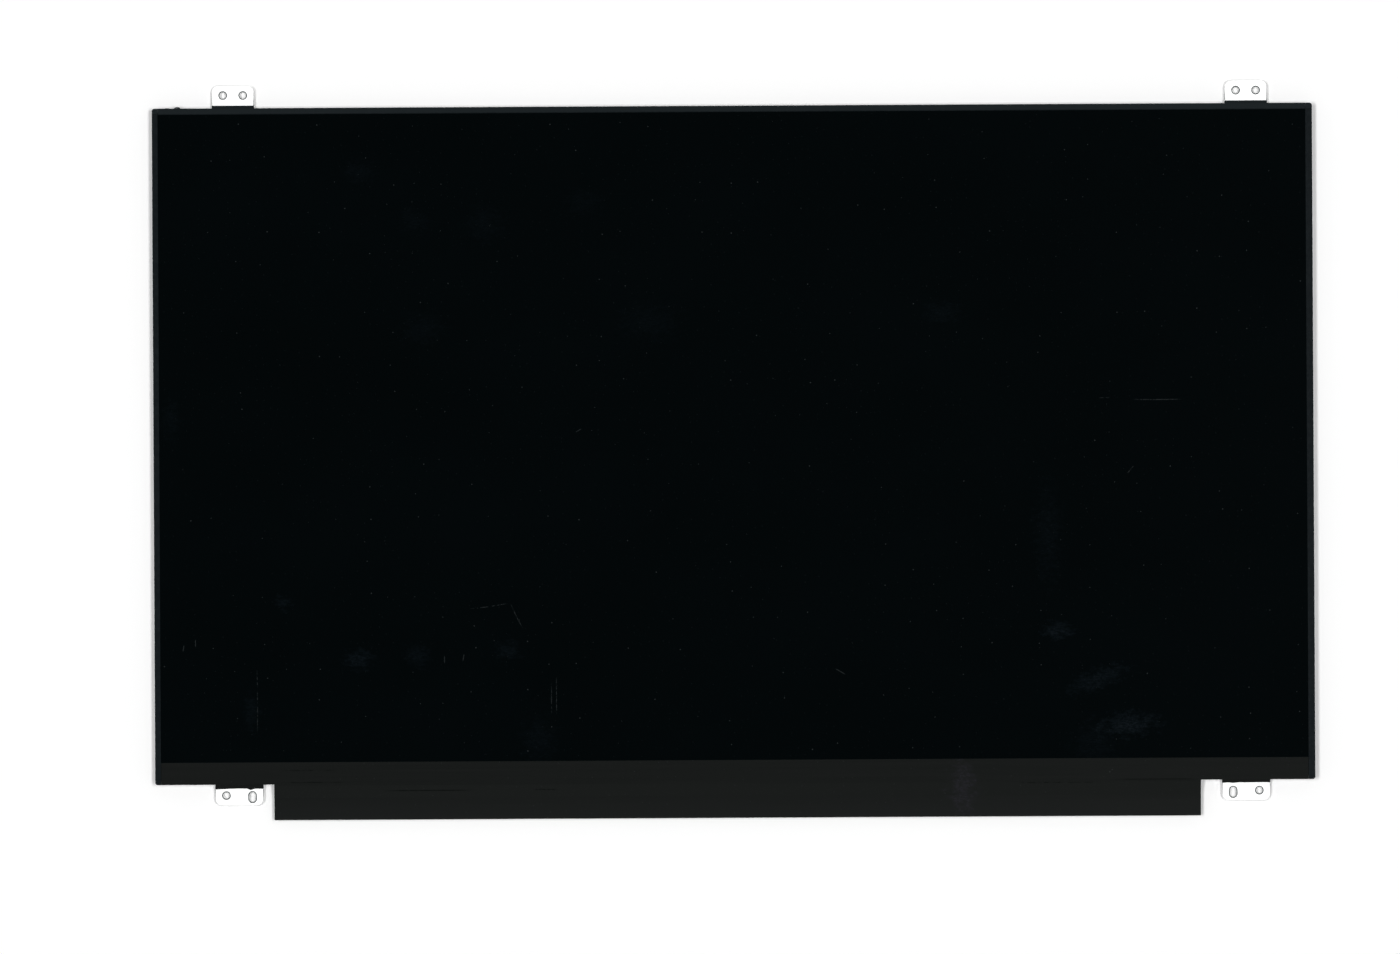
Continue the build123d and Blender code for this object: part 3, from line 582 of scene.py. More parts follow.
# Dark lines along the creases: painted shade
colour = mix(tree, crease_shade, colour, FILM_CREASE_SHADE)
colour = mix(tree, times(tree, patch, PATCH_STRENGTH), colour, FILM_PATCH)
colour = mix(tree, calc(tree, "MAXIMUM", specks, crumbs), colour, DUST_GREY)
rough = fit(tree, streaks, *GRAIN_TONES, *FILM_GLOSS)
dress(tree, shader, colour, rough, wave, FILM_WAVE_DEPTH_MM)
print("finishes:", sorted(finishes))

# %% [markdown]
# The brackets, the back plate, the socket's shell and its contacts are sheet metal. Rolling leaves a
# grain along the sheet, which shows as streaks in both colour and gloss. One function makes all four,
# with their own colour, gloss and direction of grain. The brackets are bright and satin, so they almost
# vanish against the pale floor. An edge that was cut or punched is torn and dull. A piece marks such
# faces with an attribute that darkens them, and on the brackets it also carries painted shade.

# %% Sheet metals
# Near black: the dull grey of a cut edge, darkened further as painted shade in the brackets' holes and
# sides
CUT_AND_SHADE_GREY = rgb(0.03, 0.05, 0.055)
SHEET_DEPTH_MM = 0.001
SHEET_TONES = (0.7, 1.3)
# Slot, two tones of colour, range of roughness, size of the grain and of the clouds in it
SHEET_METALS = [
    ("bracket_steel", rgb(0.93, 0.935, 0.93), rgb(0.9, 0.905, 0.9), (0.6, 0.66), (2.5, 0.12, 0.4), 6.0),
    ("plate_aluminium", rgb(0.76, 0.77, 0.78), rgb(0.7, 0.71, 0.72), (0.34, 0.4), (0.18, 30.0, 1.0), 40.0),
    ("socket_steel", rgb(0.72, 0.72, 0.73), rgb(0.6, 0.6, 0.61), (0.25, 0.38), (1.5, 0.1, 0.3), 6.0),
    ("contact_gold", rgb(0.9, 0.66, 0.26), rgb(0.82, 0.58, 0.22), (0.2, 0.32), (0.3, 0.3, 0.3), 6.0),
]


def sheet_metal(slot, colour, stained, gloss, grain_mm, cloud_mm):
    """Rolled sheet: two tones of colour, a range of roughness, and a grain as long and wide as given."""
    tree, shader, point = new_finish(slot, Metallic=1.0)
    rolled = use(tree, grain, Point=point, Size=grain_mm, Roughen=0.65)
    cloudy = use(tree, grain, Point=point, Size=[cloud_mm] * 3, Roughen=0.4)
    tone = times(tree, fit(tree, rolled, *ROLLED_TONES), fit(tree, cloudy, *GRAIN_TONES))
    # The attribute darkens dull cut edges, and on the brackets it also carries painted shade
    cut_and_shade = add(tree, "Attribute", {"attribute_name": "cut_and_shade"}).outputs["Fac"]
    metal = mix(tree, cut_and_shade, mix(tree, tone, colour, stained), CUT_AND_SHADE_GREY)
    rough = fit(tree, calc(tree, "ADD", rolled, cloudy), *SHEET_TONES, *gloss)
    dress(tree, shader, metal, rough, rolled, SHEET_DEPTH_MM)


for values in SHEET_METALS:
    sheet_metal(*values)
print("finishes:", sorted(finishes))

# %% [markdown]
# The driver board is laminate under a green varnish. Below the varnish run copper tracks, which show as
# paler green lines in small fields that run one way or the other. A Voronoi pattern with square cells
# deals out the fields, and each field's random colour chooses its direction, or a plain copper area.

# %% Circuit board and flexible circuits
BOARD_GREEN = rgb(0.006, 0.05, 0.024)
TRACK_GREEN = rgb(0.016, 0.115, 0.05)
FLEX_AMBER = rgb(0.36, 0.15, 0.024)
FLEX_COPPER = rgb(0.56, 0.28, 0.07)
VIA_GREEN = rgb(0.09, 0.2, 0.1)
TRACK_PITCH_MM = 0.45
TRACK_EDGE = (0.22, 0.28)
FIELD_MM = 5.0
ACROSS_SHARE = 0.45
LINES_SHARE = 0.62
VIAS = (1.7, 0.42, 0.35, 1.0)
VIA_STRENGTH = 0.75
BOARD_SHADE_MM = 14.0
BOARD_TONES = (0.3, 0.9)
BOARD_SHADED = 0.25
BOARD_GLOSS = (0.24, 0.36)
BOARD_RELIEF_MM = 0.015
FLEX_PITCH_MM = 0.8
FLEX_FIELD_MM = 30.0
FLEX_SHADE_MM = 3.0
FLEX_GLOSS = (0.26, 0.4)
FLEX_RELIEF_MM = 0.008

tracks, given, result = new_group("tracks", ["Point"], ["Pitch", "Field"], "Mask")
field = add(
    tracks, "TexVoronoi", {"voronoi_dimensions": "2D", "distance": "CHEBYCHEV"},
    Vector=in_units(tracks, given["Point"], given["Field"]), Scale=1.0, Randomness=0.7,
)
choice = add(tracks, "SeparateColor", None, Color=field.outputs["Color"]).outputs
x, y, _ = add(tracks, "SeparateXYZ", None, Vector=given["Point"]).outputs
lengthways = calc(tracks, "GREATER_THAN", choice["Red"], ACROSS_SHARE)
crossways = calc(tracks, "SUBTRACT", 1.0, lengthways)
course = calc(tracks, "ADD", times(tracks, y, lengthways), times(tracks, x, crossways))
line = calc(tracks, "PINGPONG", calc(tracks, "DIVIDE", course, given["Pitch"]), 0.5)
line = fit(tracks, line, *TRACK_EDGE)
area = calc(tracks, "GREATER_THAN", choice["Green"], LINES_SHARE)
put(tracks, result, calc(tracks, "MAXIMUM", line, area))

tree, shader, point = new_finish("board_laminate", Roughness=0.3, IOR=1.5)
copper = use(tree, tracks, Point=point, Pitch=TRACK_PITCH_MM, Field=FIELD_MM)
vias = sprinkle(tree, point, *VIAS)
shade = use(tree, grain, Point=point, Size=[BOARD_SHADE_MM] * 3, Roughen=0.5)
colour = mix(tree, copper, BOARD_GREEN, TRACK_GREEN)
colour = mix(tree, times(tree, vias, VIA_STRENGTH), colour, VIA_GREEN)
shaded = fit(tree, shade, *BOARD_TONES, 0.0, BOARD_SHADED)
rough = fit(tree, shade, *GRAIN_TONES, *BOARD_GLOSS)
relief = calc(tree, "ADD", copper, vias)
dress(tree, shader, mix(tree, shaded, colour, BOARD_GREEN), rough, relief, BOARD_RELIEF_MM)

tree, shader, point = new_finish("amber_flex", Roughness=0.35, IOR=1.5)
copper = use(tree, tracks, Point=point, Pitch=FLEX_PITCH_MM, Field=FLEX_FIELD_MM)
shade = use(tree, grain, Point=point, Size=[FLEX_SHADE_MM] * 3, Roughen=0.6)
rough = fit(tree, shade, *GRAIN_TONES, *FLEX_GLOSS)
dress(tree, shader, mix(tree, copper, FLEX_AMBER, FLEX_COPPER), rough, copper, FLEX_RELIEF_MM)
print("finishes:", sorted(finishes))

# %% [markdown]
# The other pieces are moulded or pressed: black resin on the chips, grey ferrite, tan ceramic, ivory
# plastic, and the plain plastics inside. They differ in colour, gloss and the size of their grain, so one
# function makes them all. A mottled colour, an uneven gloss and a fine bump keep each of them from
# looking like paint.

# %% Moulded plastics, ceramics and sheets
SLOW_GRAIN = 12
FINE_TONES = (0.3, 0.75)
SLOW_TONES = (0.25, 0.75)


def moulded(slot, colour, gloss, grain_mm, depth_mm, mottle=0.25, **values):
    """A plain solid material with a mottled colour, an uneven gloss and a fine surface grain."""
    tree, shader, point = new_finish(slot, **values)
    fine = use(tree, grain, Point=point, Size=[grain_mm] * 3, Roughen=0.6)
    slow = use(tree, grain, Point=point, Size=[SLOW_GRAIN * grain_mm] * 3, Roughen=0.5)
    darker = tuple((1 - mottle) * part for part in colour[:3]) + (1.0,)
    tone = times(tree, fit(tree, fine, *FINE_TONES), fit(tree, slow, *SLOW_TONES))
    rough = fit(tree, fine, *GRAIN_TONES, *gloss)
    dress(tree, shader, mix(tree, tone, colour, darker), rough, fine, depth_mm)


moulded("chip_resin", rgb(0.022, 0.022, 0.024), (0.5, 0.65), 0.12, 0.008)
moulded("chip_silicon", rgb(0.07, 0.07, 0.085), (0.12, 0.2), 0.4, 0.001)
moulded("coil_ferrite", rgb(0.1, 0.1, 0.105), (0.5, 0.7), 0.1, 0.01)
moulded("capacitor_ceramic", rgb(0.45, 0.31, 0.18), (0.4, 0.55), 0.15, 0.006)
moulded("socket_plastic", rgb(0.74, 0.7, 0.6), (0.4, 0.5), 0.15, 0.004)
moulded("led_body", rgb(0.8, 0.78, 0.64), (0.35, 0.45), 0.15, 0.004)
moulded("black_moulding", rgb(0.014, 0.014, 0.015), (0.45, 0.6), 0.25, 0.008)
moulded("adhesive_tape", rgb(0.03, 0.03, 0.03), (0.7, 0.85), 0.3, 0.012)
moulded("white_sheet", rgb(0.86, 0.87, 0.87), (0.45, 0.6), 0.5, 0.003, 0.05)
moulded("grey_polarizer", rgb(0.08, 0.08, 0.088), (0.14, 0.22), 0.5, 0.001)
moulded(
    "clear_sheet", rgb(0.9, 0.93, 0.94), (0.06, 0.14), 0.6, 0.001, 0.04, Transmission_Weight=0.85, IOR=1.49
)
moulded(
    "cell_glass", rgb(0.88, 0.93, 0.91), (0.02, 0.05), 0.8, 0.0005, 0.03, Transmission_Weight=1.0, IOR=1.52
)
print("finishes:", len(finishes))

# %% [markdown]
# The record says which slot each CAD node takes its finish from, so one loop dresses them all. The nodes'
# own meshes stay as they are: only the material in their slot changes.

# %% Dress the CAD nodes
for part in frame["record"]["subparts"]:
    node = nodes[part["node"]]
    node.data.materials.clear()
    node.data.materials.append(finishes[part["material_slot"]])

# %% [markdown]
# Every new piece starts the same way: alone in edit mode, either as a copy of a CAD node or as a simple
# shape to form further. A CAD node's mesh is loose triangles, so a copy is merged first and its flat
# faces are made whole. When a piece is done, its rounds are shaded smooth and weighted normals keep its
# flat faces flat. It gets its finish and rides with the panel, and any CAD node that it stands for is
# hidden.

# %% Start and end of a piece
MERGE = 0.001 * MM
FLAT_ANGLE = math.radians(1)
SHARP_ANGLE = math.radians(50)
SMOOTH_ANGLE = math.radians(35)
ROUND_STEPS = 2


def edit(piece):
    """Opens a piece in edit mode, with all of it chosen."""
    bpy.ops.object.select_all(action="DESELECT")
    bpy.context.view_layer.objects.active = piece
    piece.select_set(True)
    bpy.ops.object.mode_set(mode="EDIT")
    bpy.ops.mesh.select_all(action="SELECT")


def copy_of(node, name):
    """A new piece in edit mode that has the mesh of a CAD node, merged, with whole flat faces."""
    piece = bpy.data.objects.new(name, nodes[node].data.copy())
    bpy.context.scene.collection.objects.link(piece)
    edit(piece)
    bpy.ops.mesh.remove_doubles(threshold=MERGE)
    bpy.ops.mesh.dissolve_limited(angle_limit=FLAT_ANGLE)
    bpy.ops.mesh.select_all(action="DESELECT")
    return piece


def modify(piece, kind, **values):
    """Adds a modifier to a piece and applies it."""
    bpy.ops.object.mode_set(mode="OBJECT")
    bpy.context.view_layer.objects.active = piece
    modifier = piece.modifiers.new(kind, kind)
    for name, value in values.items():
        setattr(modifier, name, value)
    bpy.ops.object.modifier_apply(modifier=modifier.name)


def finish(piece, slot, *replaced):
    """Closes a piece: its finish, smooth rounds, its body, its slot, and the CAD nodes that it replaces."""
    bpy.ops.object.mode_set(mode="OBJECT")
    bpy.ops.object.shade_smooth_by_angle(angle=SMOOTH_ANGLE)
    modify(piece, "WEIGHTED_NORMAL", keep_sharp=True)
    piece.data.materials.clear()
    piece.data.materials.append(finishes[slot])
    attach(piece, "root")
    if replaced:
        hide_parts(*replaced)
    print("piece:", piece.name, "faces:", len(piece.data.polygons))


# %% [markdown]
# The four brackets are stamped from thin sheet. A punch draws the rim of a cut down a little and leaves
# it dull. In the photograph this is nearly all that shows of the white tabs: a grey ring in each hole and
# a grey line along each side. So each bracket is a copy of its CAD node whose outline is rounded and whose
# holes are drawn in to a rounded lip, and these faces are marked. The mark is partly the dull cut edge and
# partly painted shade: along the outline a painted shadow that fades from the root to the tip, and in each
# hole a painted shade that is darkest on the side away from the panel. A hole's rim is a short closed run
# of sharp edges, which sets it apart from the outline. The bevel numbers its new faces by material, which
# is how they are found again.

# %% Stamped brackets
BRACKETS = ("bracket_top_left", "bracket_top_right", "bracket_bottom_left", "bracket_bottom_right")
HOLE_LIP = 0.24 * MM
HOLE_ROUND = 0.1 * MM
EDGE_ROUND = 0.19 * MM
# Painted shadow along a bracket's sides, darkest at the root and gone this far out
EDGE_SHADOW_FADE = 5.5 * MM
# Painted shade in the holes: full darkness on the lip, more on the side away from the panel
HOLE_DULL_AND_SHADE = 1.0
# Painted shade in a hole, darker on the side away from the panel
FAR_SIDE_SHADE = 0.4
LONGEST_HOLE_RIM = 12 * MM
WALL_HEIGHT = 0.5 * MM
WALL_SLOPE = 0.1
KINDS = FLAT_FACES, EDGE_FACES, HOLE_FACES = range(3)


def groups(left, joined_to):
    """Parts the things in a set into groups that hang together."""
    found = []
    while left:
        group = [left.pop()]
        for one in group:
            joined = set(joined_to(one)) & left
            left -= joined
            group.extend(joined)
        found.append(group)
    return found


def sharp_runs(mesh):
    """The sharp edges of a mesh, in runs that hang together."""
    sharp = {edge for edge in mesh.edges if edge.is_manifold and edge.calc_face_angle() > SHARP_ANGLE}
    return groups(sharp, lambda edge: [other for end in edge.verts for other in end.link_edges])


def is_hole(run):
    """Tells the rim of a hole from the outline by its length."""
    return sum(edge.calc_length() for edge in run) < LONGEST_HOLE_RIM


def choose(piece, edges):
    """Chooses only these edges of a piece in edit mode."""
    bpy.ops.mesh.select_all(action="DESELECT")
    for edge in edges:
        edge.select_set(True)
    bmesh.update_edit_mesh(piece.data)


def round_outline(piece):
    """Rounds the sharp edges of a sheet's outline, and numbers the new faces."""
    mesh = bmesh.from_edit_mesh(piece.data)
    choose(piece, [edge for run in sharp_runs(mesh) if not is_hole(run) for edge in run])
    bpy.ops.mesh.bevel(offset=EDGE_ROUND, segments=ROUND_STEPS, affect="EDGES", material=EDGE_FACES)


def is_level(edge):
    """Tells a level edge from one that climbs."""
    return abs(edge.verts[0].co.z - edge.verts[1].co.z) < MERGE


def draw_in_holes(piece):
    """Draws the wall of each hole in to a lip, rounds the lip and both rims, and numbers the faces."""
    mesh = bmesh.from_edit_mesh(piece.data)
    ends = {end for run in sharp_runs(mesh) if is_hole(run) for edge in run for end in edge.verts}
    middle = sum(end.co.z for end in ends) / len(ends)
    choose(piece, [edge for edge in mesh.edges if ends.issuperset(edge.verts) and not is_level(edge)])
    bpy.ops.mesh.subdivide(number_cuts=1)
    mesh = bmesh.from_edit_mesh(piece.data)
    lip = [vert for vert in mesh.verts if vert.select and abs(vert.co.z - middle) < MERGE]
    for vert in lip:
        vert.co += vert.normal * HOLE_LIP
        for face in vert.link_faces:
            face.material_index = HOLE_FACES
    walls = {face for vert in lip for face in vert.link_faces}
    choose(piece, {edge for face in walls for edge in face.edges if is_level(edge)})
    bpy.ops.mesh.bevel(offset=HOLE_ROUND, segments=ROUND_STEPS, affect="EDGES", material=HOLE_FACES)


def cut_and_shade_share(face, places, place):
    """Corner darkness: dull walls, painted shadow fading from the root, painted hole shade darkest far out.
    """
    heights = [other.z for other in places]
    if abs(face.normal.z) < WALL_SLOPE and max(heights) - min(heights) < WALL_HEIGHT:
        return 1.0
    if face.material_index == EDGE_FACES:
        # Painted shadow beside the tab, fading from its root
        return max(0.0, 1 - (abs(place.y) - rim_top) / EDGE_SHADOW_FADE)
    if face.material_index == HOLE_FACES:
        # Painted shade in the hole, darkest on the side away from the panel
        return HOLE_DULL_AND_SHADE - FAR_SIDE_SHADE * face.normal.y * math.copysign(1, place.y)
    return 0.0


def mark_cuts_and_shade(piece):
    """Marks the rims of a stamped sheet, and the low walls between them, as dull, with painted shade."""
    cut_and_shade = piece.data.attributes.new("cut_and_shade", "FLOAT", "CORNER")
    for face in piece.data.polygons:
        places = [piece.data.vertices[i].co for i in face.vertices]
        for loop, place in zip(face.loop_indices, places):
            cut_and_shade.data[loop].value = cut_and_shade_share(face, places, place)
        face.material_index = FLAT_FACES


for name in BRACKETS:
    piece = copy_of(name, name + "_stamped")
    for _ in KINDS:
        piece.data.materials.append(finishes["bracket_steel"])
    round_outline(piece)
    draw_in_holes(piece)
    bpy.ops.object.mode_set(mode="OBJECT")
    mark_cuts_and_shade(piece)
    finish(piece, "bracket_steel", name)

# %% [markdown]
# The tape was folded over the top edge by hand. Near the left end it has puckered: a small fold stands
# out past the edge and catches the light, with a lower one beside it. A fold is a soft lens, so each
# starts as a sphere that is squeezed against the edge. The half inside the panel is cut away, and a
# Displace modifier with a cloud texture crumples the rest.

# %% Puckers in the top tape
# Middle in the photograph, then the fold's length along the edge, its reach and its height in millimetres
PUCKERS = [(176.5, 107.5, 1.9, 0.55, 1.1), (166.5, 107.5, 1.4, 0.16, 0.8)]
PUCKER_SPHERE = {"segments": 32, "ring_count": 16, "radius": 1.0}
CRUMPLE_SIZE = 0.5 * MM
CRUMPLE_DEPTH = 0.12 * MM

crumple = bpy.data.textures.new("crumple", "CLOUDS")
crumple.noise_scale = CRUMPLE_SIZE


def new_shape(name, add_shape, **values):
    """A new piece in edit mode that starts as one of Blender's simple shapes."""
    bpy.ops.object.select_all(action="DESELECT")
    add_shape(**values)
    piece = bpy.context.object
    piece.name = name
    edit(piece)
    return piece


def form(size, place):
    """Scales what is chosen in edit mode about the origin, and moves it to its place."""
    bpy.ops.transform.resize(value=size, center_override=(0, 0, 0))
    bpy.ops.transform.translate(value=place)


for number, (u, v, length, reach, height) in enumerate(PUCKERS, start=1):
    piece = new_shape(f"tape_pucker_{number}", bpy.ops.mesh.primitive_uv_sphere_add, **PUCKER_SPHERE)
    spot = on_panel(u, v) * MM
    middle = cad_high.z - CRUMPLE_DEPTH / 2 - height / 2 * MM
    form(Vector((length / 2, reach, height / 2)) * MM, (spot.x, rim_top, middle))
    bpy.ops.mesh.bisect(plane_co=(0, rim_top, 0), plane_no=(0, 1, 0), clear_inner=True, use_fill=True)
    modify(piece, "DISPLACE", texture=crumple, texture_coords="LOCAL", strength=CRUMPLE_DEPTH)
    finish(piece, "black_tape")

# %% [markdown]
# The film on the lower brackets was cut by hand too. In the CAD model it ends in a straight line on the
# tab. In the photograph that line lies a little further in, the film is longer at one side, and a small
# tongue points at the slot. So the film is a copy of its CAD node with trimmed ends, and a thin strip
# carries each end on: a grid whose outer row follows a formula, made as thick as the film by a Solidify
# modifier.

# %% Ends of the film on the lower brackets
FILM_THICKNESS = 0.1 * MM
STRIP_COLUMNS = 60
LEAST_REACH = 0.02
FILM_TRIM = {"bracket_bottom_left": 0.42 * MM, "bracket_bottom_right": 0.36 * MM}
# Reach at the left and right end, where these fade out along the strip,
# and the tongue's place, reach and width
FILM_ENDS = {
    "bracket_bottom_left": (0.25, 0.1, 0.42, 0.735, 0.42, 0.05),
    "bracket_bottom_right": (0.12, 0.06, 0.1, 0.23, 0.16, 0.06),
}


def film_reach(along, left, right, fade, tongue, reach, width):
    """How far the film goes on, in millimetres, at a share of the way along its end."""
    ends = left * max(0, 1 - along / fade) + right * max(0, 1 - (1 - along) / fade)
    return LEAST_REACH + ends + reach * math.exp(-(((along - tongue) / width) ** 2))


film = copy_of("front_cover_film", "cover_film")
mesh = bmesh.from_edit_mesh(film.data)
film_ends = {}
for name, trim in FILM_TRIM.items():
    low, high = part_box(name)
    above = [vert for vert in mesh.verts if low.x - MERGE < vert.co.x < high.x + MERGE]
    straight_end = min(vert.co.y for vert in above)
    for vert in above:
        if vert.co.y < straight_end + MERGE:
            vert.co.y += trim
    film_ends[name] = straight_end + trim
bmesh.update_edit_mesh(film.data)
finish(film, "black_film", "front_cover_film")

for name, values in FILM_ENDS.items():
    low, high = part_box(name)
    piece = new_shape(
        name.replace("bracket", "film_end"), bpy.ops.mesh.primitive_grid_add,
        x_subdivisions=STRIP_COLUMNS, y_subdivisions=1, size=1.0,
    )
    mesh = bmesh.from_edit_mesh(piece.data)
    for vert in mesh.verts:
        along = vert.co.x + 0.5
        beyond = film_reach(along, *values) * MM if vert.co.y < 0 else 0.0
        vert.co = (low.x + along * (high.x - low.x), film_ends[name] - beyond, high.z)
    bmesh.update_edit_mesh(piece.data)
    modify(piece, "SOLIDIFY", thickness=FILM_THICKNESS, offset=1.0)
    finish(piece, "black_film")

# %% [markdown]
# The rest is on the back of the driver board, where the CAD model has plain blocks. Chip capacitors and
# resistors have tinned ends that wrap the body and are soldered down. One end is modelled, as a rounded
# cap a little larger than the body, and repeated at both ends of every block. The blocks are found in the
# CAD node itself.

# %% Tinned ends of the capacitors and resistors
CAP_LAP = 0.025 * MM
CAP_SHARE = 0.24
CAP_ROUND = 0.06


def blocks_of(node):
    """The lowest and highest corner of each separate block in a CAD node, from left to right."""
    mesh = bmesh.new()
    mesh.from_mesh(nodes[node].data)
    bmesh.ops.remove_doubles(mesh, verts=mesh.verts, dist=MERGE)
    boxes = []
    for block in groups(set(mesh.verts), lambda vert: [edge.other_vert(vert) for edge in vert.link_edges]):
        boxes.append([Vector([end(vert.co[i] for vert in block) for i in range(3)]) for end in (min, max)])
    mesh.free()
    return sorted(boxes, key=lambda box: tuple(box[0]))


def repeat(piece, places):
    """Repeats a finished shape at several places, each with its own turn, in the one mesh."""
    bpy.ops.object.mode_set(mode="OBJECT")
    shape = piece.data.copy()
    gathered = bmesh.new()
    for place, turn in places:
        before = len(gathered.verts)
        gathered.from_mesh(shape)
        gathered.verts.ensure_lookup_table()
        move = Matrix.Translation(place) @ Matrix.Rotation(turn, 4, "Z")
        bmesh.ops.transform(gathered, matrix=move, verts=gathered.verts[before:])
    gathered.to_mesh(piece.data)
    gathered.free()
    bpy.data.meshes.remove(shape)


def tinned_ends(node, name):
    """Caps on both ends of every block of a node."""
    blocks = blocks_of(node)
    low, high = blocks[0]
    size = high - low
    length = CAP_SHARE * size.x + CAP_LAP
    piece = new_shape(name, bpy.ops.mesh.primitive_cube_add, size=1.0)
    form((length, size.y + 2 * CAP_LAP, size.z + CAP_LAP), (0, 0, 0))
    bpy.ops.mesh.bevel(offset=CAP_ROUND * size.y, segments=ROUND_STEPS, affect="EDGES")
    places = []
    for low, high in blocks:
        middle = (low + high) / 2
        for outer in (low.x - CAP_LAP + length / 2, high.x + CAP_LAP - length / 2):
            places.append((Vector((outer, middle.y, middle.z - CAP_LAP / 2)), 0.0))
    repeat(piece, places)
    finish(piece, "socket_steel")


tinned_ends("capacitors", "capacitor_ends")
tinned_ends("resistors", "resistor_ends")

# %% [markdown]
# Each coil stands on two clips of tinned strip, one at each end: a foot on the board, and a leg up the
# coil's side. One clip is a plane whose inner edge is extruded, made solid and rounded. The three flat
# chips are soldered by rows of small pads round their edge, each with a sloping fillet of solder. The
# memory chip has bent legs. Every form is made once and repeated along the sides of its chip.

# %% Clips, solder fillets and legs
CLIP_WIDTH = 2.2 * MM
CLIP_FOOT = 0.45 * MM
CLIP_LEG = 0.7 * MM
STRIP_THICKNESS = 0.1 * MM
STRIP_ROUND = 0.03 * MM
FILLET_WIDTH = 0.26 * MM
FILLET_REACH = 0.32 * MM
FILLET_HEIGHT = 0.2 * MM
FILLET_PITCH = 0.5 * MM
FILLET_ROUND = 0.8 * FILLET_HEIGHT
FILLET_STEPS = 3
FILLET_HOLLOW = 0.25
CORNER_GAP = 0.5 * MM
LEG_WIDTH = 0.42 * MM
LEG_PITCH = 1.27 * MM
LEG_COUNT = 4
LEG_SHOULDER = 0.2 * MM
LEG_DROP = 0.35 * MM
LEG_FOOT = 0.45 * MM
QUARTER = math.pi / 2

board_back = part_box("driver_board")[0].z


def bent_strip(name, width, steps):
    """A solid strip of sheet that starts across the origin and bends along the given steps."""
    piece = new_shape(name, bpy.ops.mesh.primitive_plane_add, size=1.0)
    form((width, 1.0, 1.0), (0, 0, 0))
    mesh = bmesh.from_edit_mesh(piece.data)
    for vert in mesh.verts:
        vert.co.y = 0.0 if vert.co.y < 0 else steps[0].y
        vert.co.z = 0.0 if vert.co.y == 0.0 else steps[0].z
    bmesh.update_edit_mesh(piece.data)
    reached = steps[0]
    for step in steps[1:]:
        mesh = bmesh.from_edit_mesh(piece.data)
        for edge in mesh.edges:
            edge.select_set(all((vert.co - reached).yz.length < MERGE for vert in edge.verts))
        bmesh.update_edit_mesh(piece.data)
        bpy.ops.mesh.extrude_region_move(TRANSFORM_OT_translate={"value": step})
        reached = reached + step
    modify(piece, "SOLIDIFY", thickness=STRIP_THICKNESS, offset=0.0)
    modify(piece, "BEVEL", width=STRIP_ROUND, segments=ROUND_STEPS, limit_method="ANGLE")
    return piece


def sides_of(low, high, count, pitch):
    """Places and turns along a chip's four sides, front and back first, for shapes that point along -Y."""
    middle = (low + high) / 2
    half = (high - low) / 2
    row = [(i - (count - 1) / 2) * pitch for i in range(count)]
    for turn, away, across in ((0.0, half.y, Vector((1, 0, 0))), (QUARTER, half.x, Vector((0, 1, 0)))):
        out = Matrix.Rotation(turn, 3, "Z") @ Vector((0, -away, 0))
        for flip in (1, -1):
            for step in row:
                spot = middle + flip * out + step * across
                yield Vector((spot.x, spot.y, board_back)), turn + (math.pi if flip < 0 else 0.0)


clip = bent_strip("coil_clips", CLIP_WIDTH, [Vector((0, CLIP_FOOT, 0)), Vector((0, 0, -CLIP_LEG))])
places = []
for low, high in blocks_of("power_coils"):
    middle = (low + high) / 2
    for turn, edge, way in ((-QUARTER, low.x, -1), (QUARTER, high.x, 1)):
        out = edge + way * (CLIP_FOOT + STRIP_THICKNESS / 2)
        places.append((Vector((out, middle.y, board_back - STRIP_THICKNESS / 2)), turn))
repeat(clip, places)
finish(clip, "socket_steel")

for name in ("backlight_chip", "power_chip", "timing_chip"):
    low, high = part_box(name)
    fillet = new_shape(name + "_fillets", bpy.ops.mesh.primitive_cube_add, size=1.0)
    form((FILLET_WIDTH, FILLET_REACH, FILLET_HEIGHT), (0, -FILLET_REACH / 2, -FILLET_HEIGHT / 2))
    mesh = bmesh.from_edit_mesh(fillet.data)
    for edge in mesh.edges:
        edge.select_set(all(v.co.z < -FILLET_HEIGHT / 2 and v.co.y < -FILLET_REACH / 2 for v in edge.verts))
    bmesh.update_edit_mesh(fillet.data)
    bpy.ops.mesh.bevel(offset=FILLET_ROUND, segments=FILLET_STEPS, profile=FILLET_HOLLOW, affect="EDGES")
    count = int((high.x - low.x - 2 * CORNER_GAP) / FILLET_PITCH) + 1
    repeat(fillet, list(sides_of(low, high, count, FILLET_PITCH)))
    finish(fillet, "socket_steel")

low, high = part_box("memory_chip")
leg = bent_strip("memory_chip_legs", LEG_WIDTH, [
    Vector((0, -LEG_SHOULDER, 0)), Vector((0, -LEG_SHOULDER / 2, LEG_DROP)), Vector((0, -LEG_FOOT, 0)),
])
drop = Vector((0, 0, LEG_DROP + STRIP_THICKNESS / 2))
legs = list(sides_of(low, high, LEG_COUNT, LEG_PITCH))[:2 * LEG_COUNT]
repeat(leg, [(place - drop, turn) for place, turn in legs])
finish(leg, "socket_steel")

# %% [markdown]
# A chip's case is moulded, so its edges are not quite sharp, and a round dimple marks its first pin. Each
# case is a copy of its CAD node with bevelled edges. A flattened sphere presses the dimple in, as the
# cutter of a Boolean modifier, and is then thrown away.

# %% Chip cases
CHIPS = ("backlight_chip", "power_chip", "timing_chip", "memory_chip")
CASE_ROUND = 0.06 * MM
DIMPLE = Vector((0.3, 0.3, 0.08)) * MM
DIMPLE_INSET = 0.75 * MM
DIMPLE_SPHERE = {"segments": 20, "ring_count": 10, "radius": 1.0}

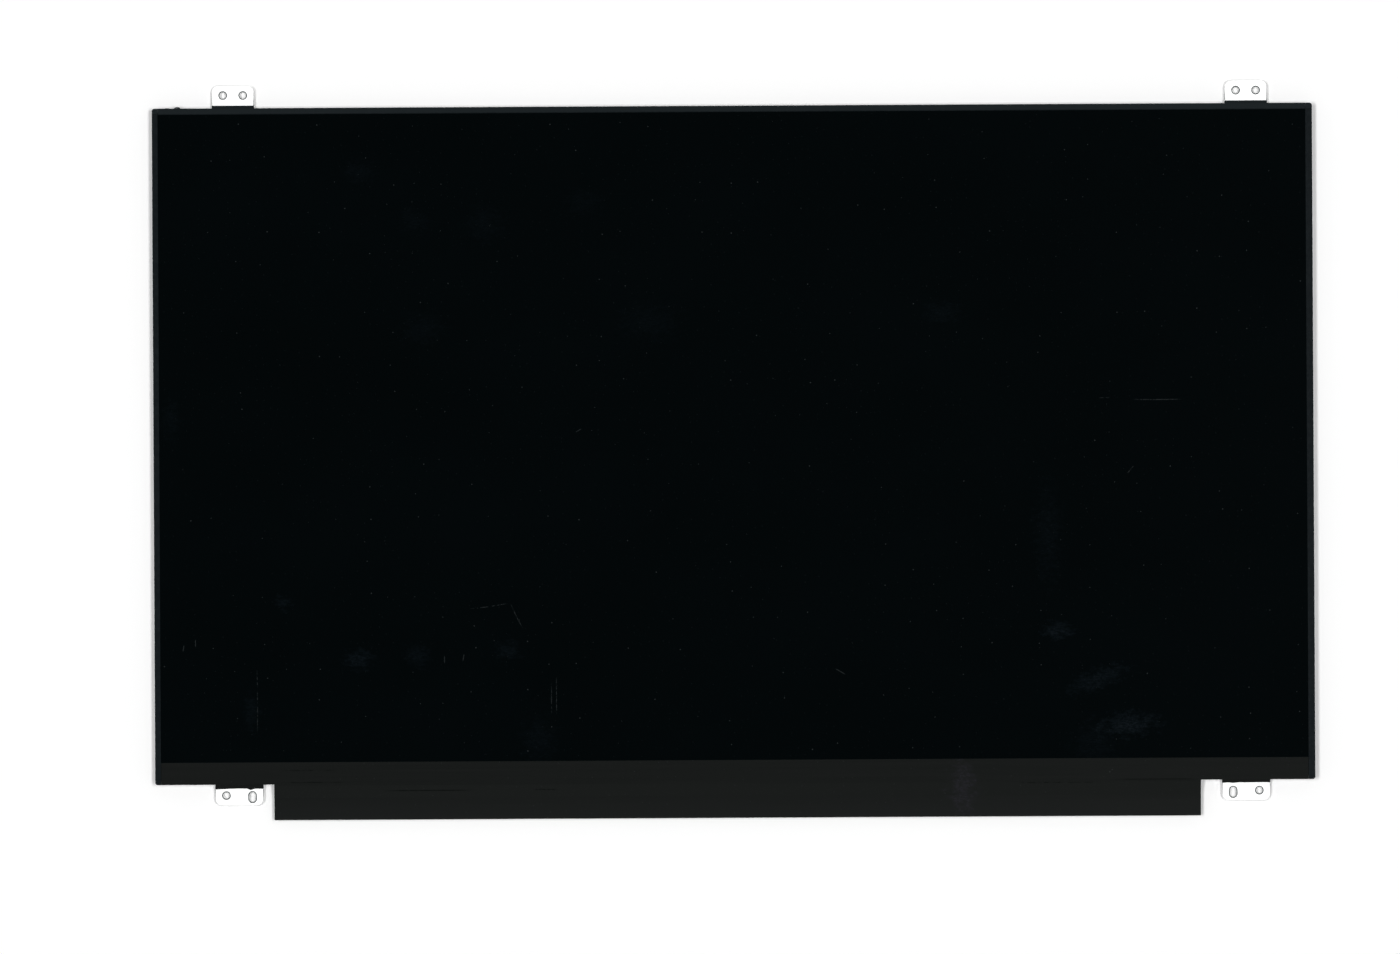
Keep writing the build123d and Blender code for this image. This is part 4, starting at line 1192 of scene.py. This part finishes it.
for name in CHIPS:
    low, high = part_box(name)
    case = copy_of(name, name + "_case")
    bpy.ops.mesh.select_all(action="SELECT")
    bpy.ops.mesh.bevel(offset=CASE_ROUND, segments=ROUND_STEPS, affect="EDGES")
    bpy.ops.object.mode_set(mode="OBJECT")
    cutter = new_shape("dimple", bpy.ops.mesh.primitive_uv_sphere_add, **DIMPLE_SPHERE)
    form(DIMPLE, (low.x + DIMPLE_INSET, high.y - DIMPLE_INSET, low.z))
    modify(case, "BOOLEAN", object=cutter, operation="DIFFERENCE")
    bpy.data.objects.remove(cutter)
    edit(case)
    finish(case, "chip_resin", name)

# %% [markdown]
# The light strip's tail is soldered to the board along its end. Each joint is a low drop of solder,
# longer than it is wide. A disc is drawn out in a few steps, each smaller than the last, and the drop is
# repeated in a row.

# %% Solder joints on the light strip's tail
JOINT_COUNT = 6
JOINT_CORNERS = 16
JOINT_SIZE = Vector((0.42, 0.62, 1.0)) * MM
# Height of each step in millimetres, and its width as a share of the step before
JOINT_STEPS = [(0.05, 0.94), (0.06, 0.8), (0.05, 0.55)]

strip_verts = [vert.co for vert in nodes["light_strip"].data.vertices]
tail_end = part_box("light_strip")[0].y
tail = [place for place in strip_verts if place.y < tail_end + MERGE]
tail_left, tail_right = (end(place.x for place in tail) for end in (min, max))
tail_back = min(place.z for place in tail)

joint = new_shape(
    "tail_joints", bpy.ops.mesh.primitive_circle_add, vertices=JOINT_CORNERS, radius=1.0, fill_type="NGON"
)
form(JOINT_SIZE, (0, 0, 0))
for step, share in JOINT_STEPS:
    bpy.ops.mesh.extrude_region_move(TRANSFORM_OT_translate={"value": (0, 0, -step * MM)})
    bpy.ops.transform.resize(value=(share, share, 1.0), center_override=(0, 0, 0))
bpy.ops.mesh.select_all(action="SELECT")
bpy.ops.mesh.normals_make_consistent(inside=False)
spread = (tail_right - tail_left) / JOINT_COUNT
row = [tail_left + (i + 0.5) * spread for i in range(JOINT_COUNT)]
repeat(joint, [(Vector((x, tail_end + JOINT_SIZE.y, tail_back)), 0.0) for x in row])
finish(joint, "socket_steel")
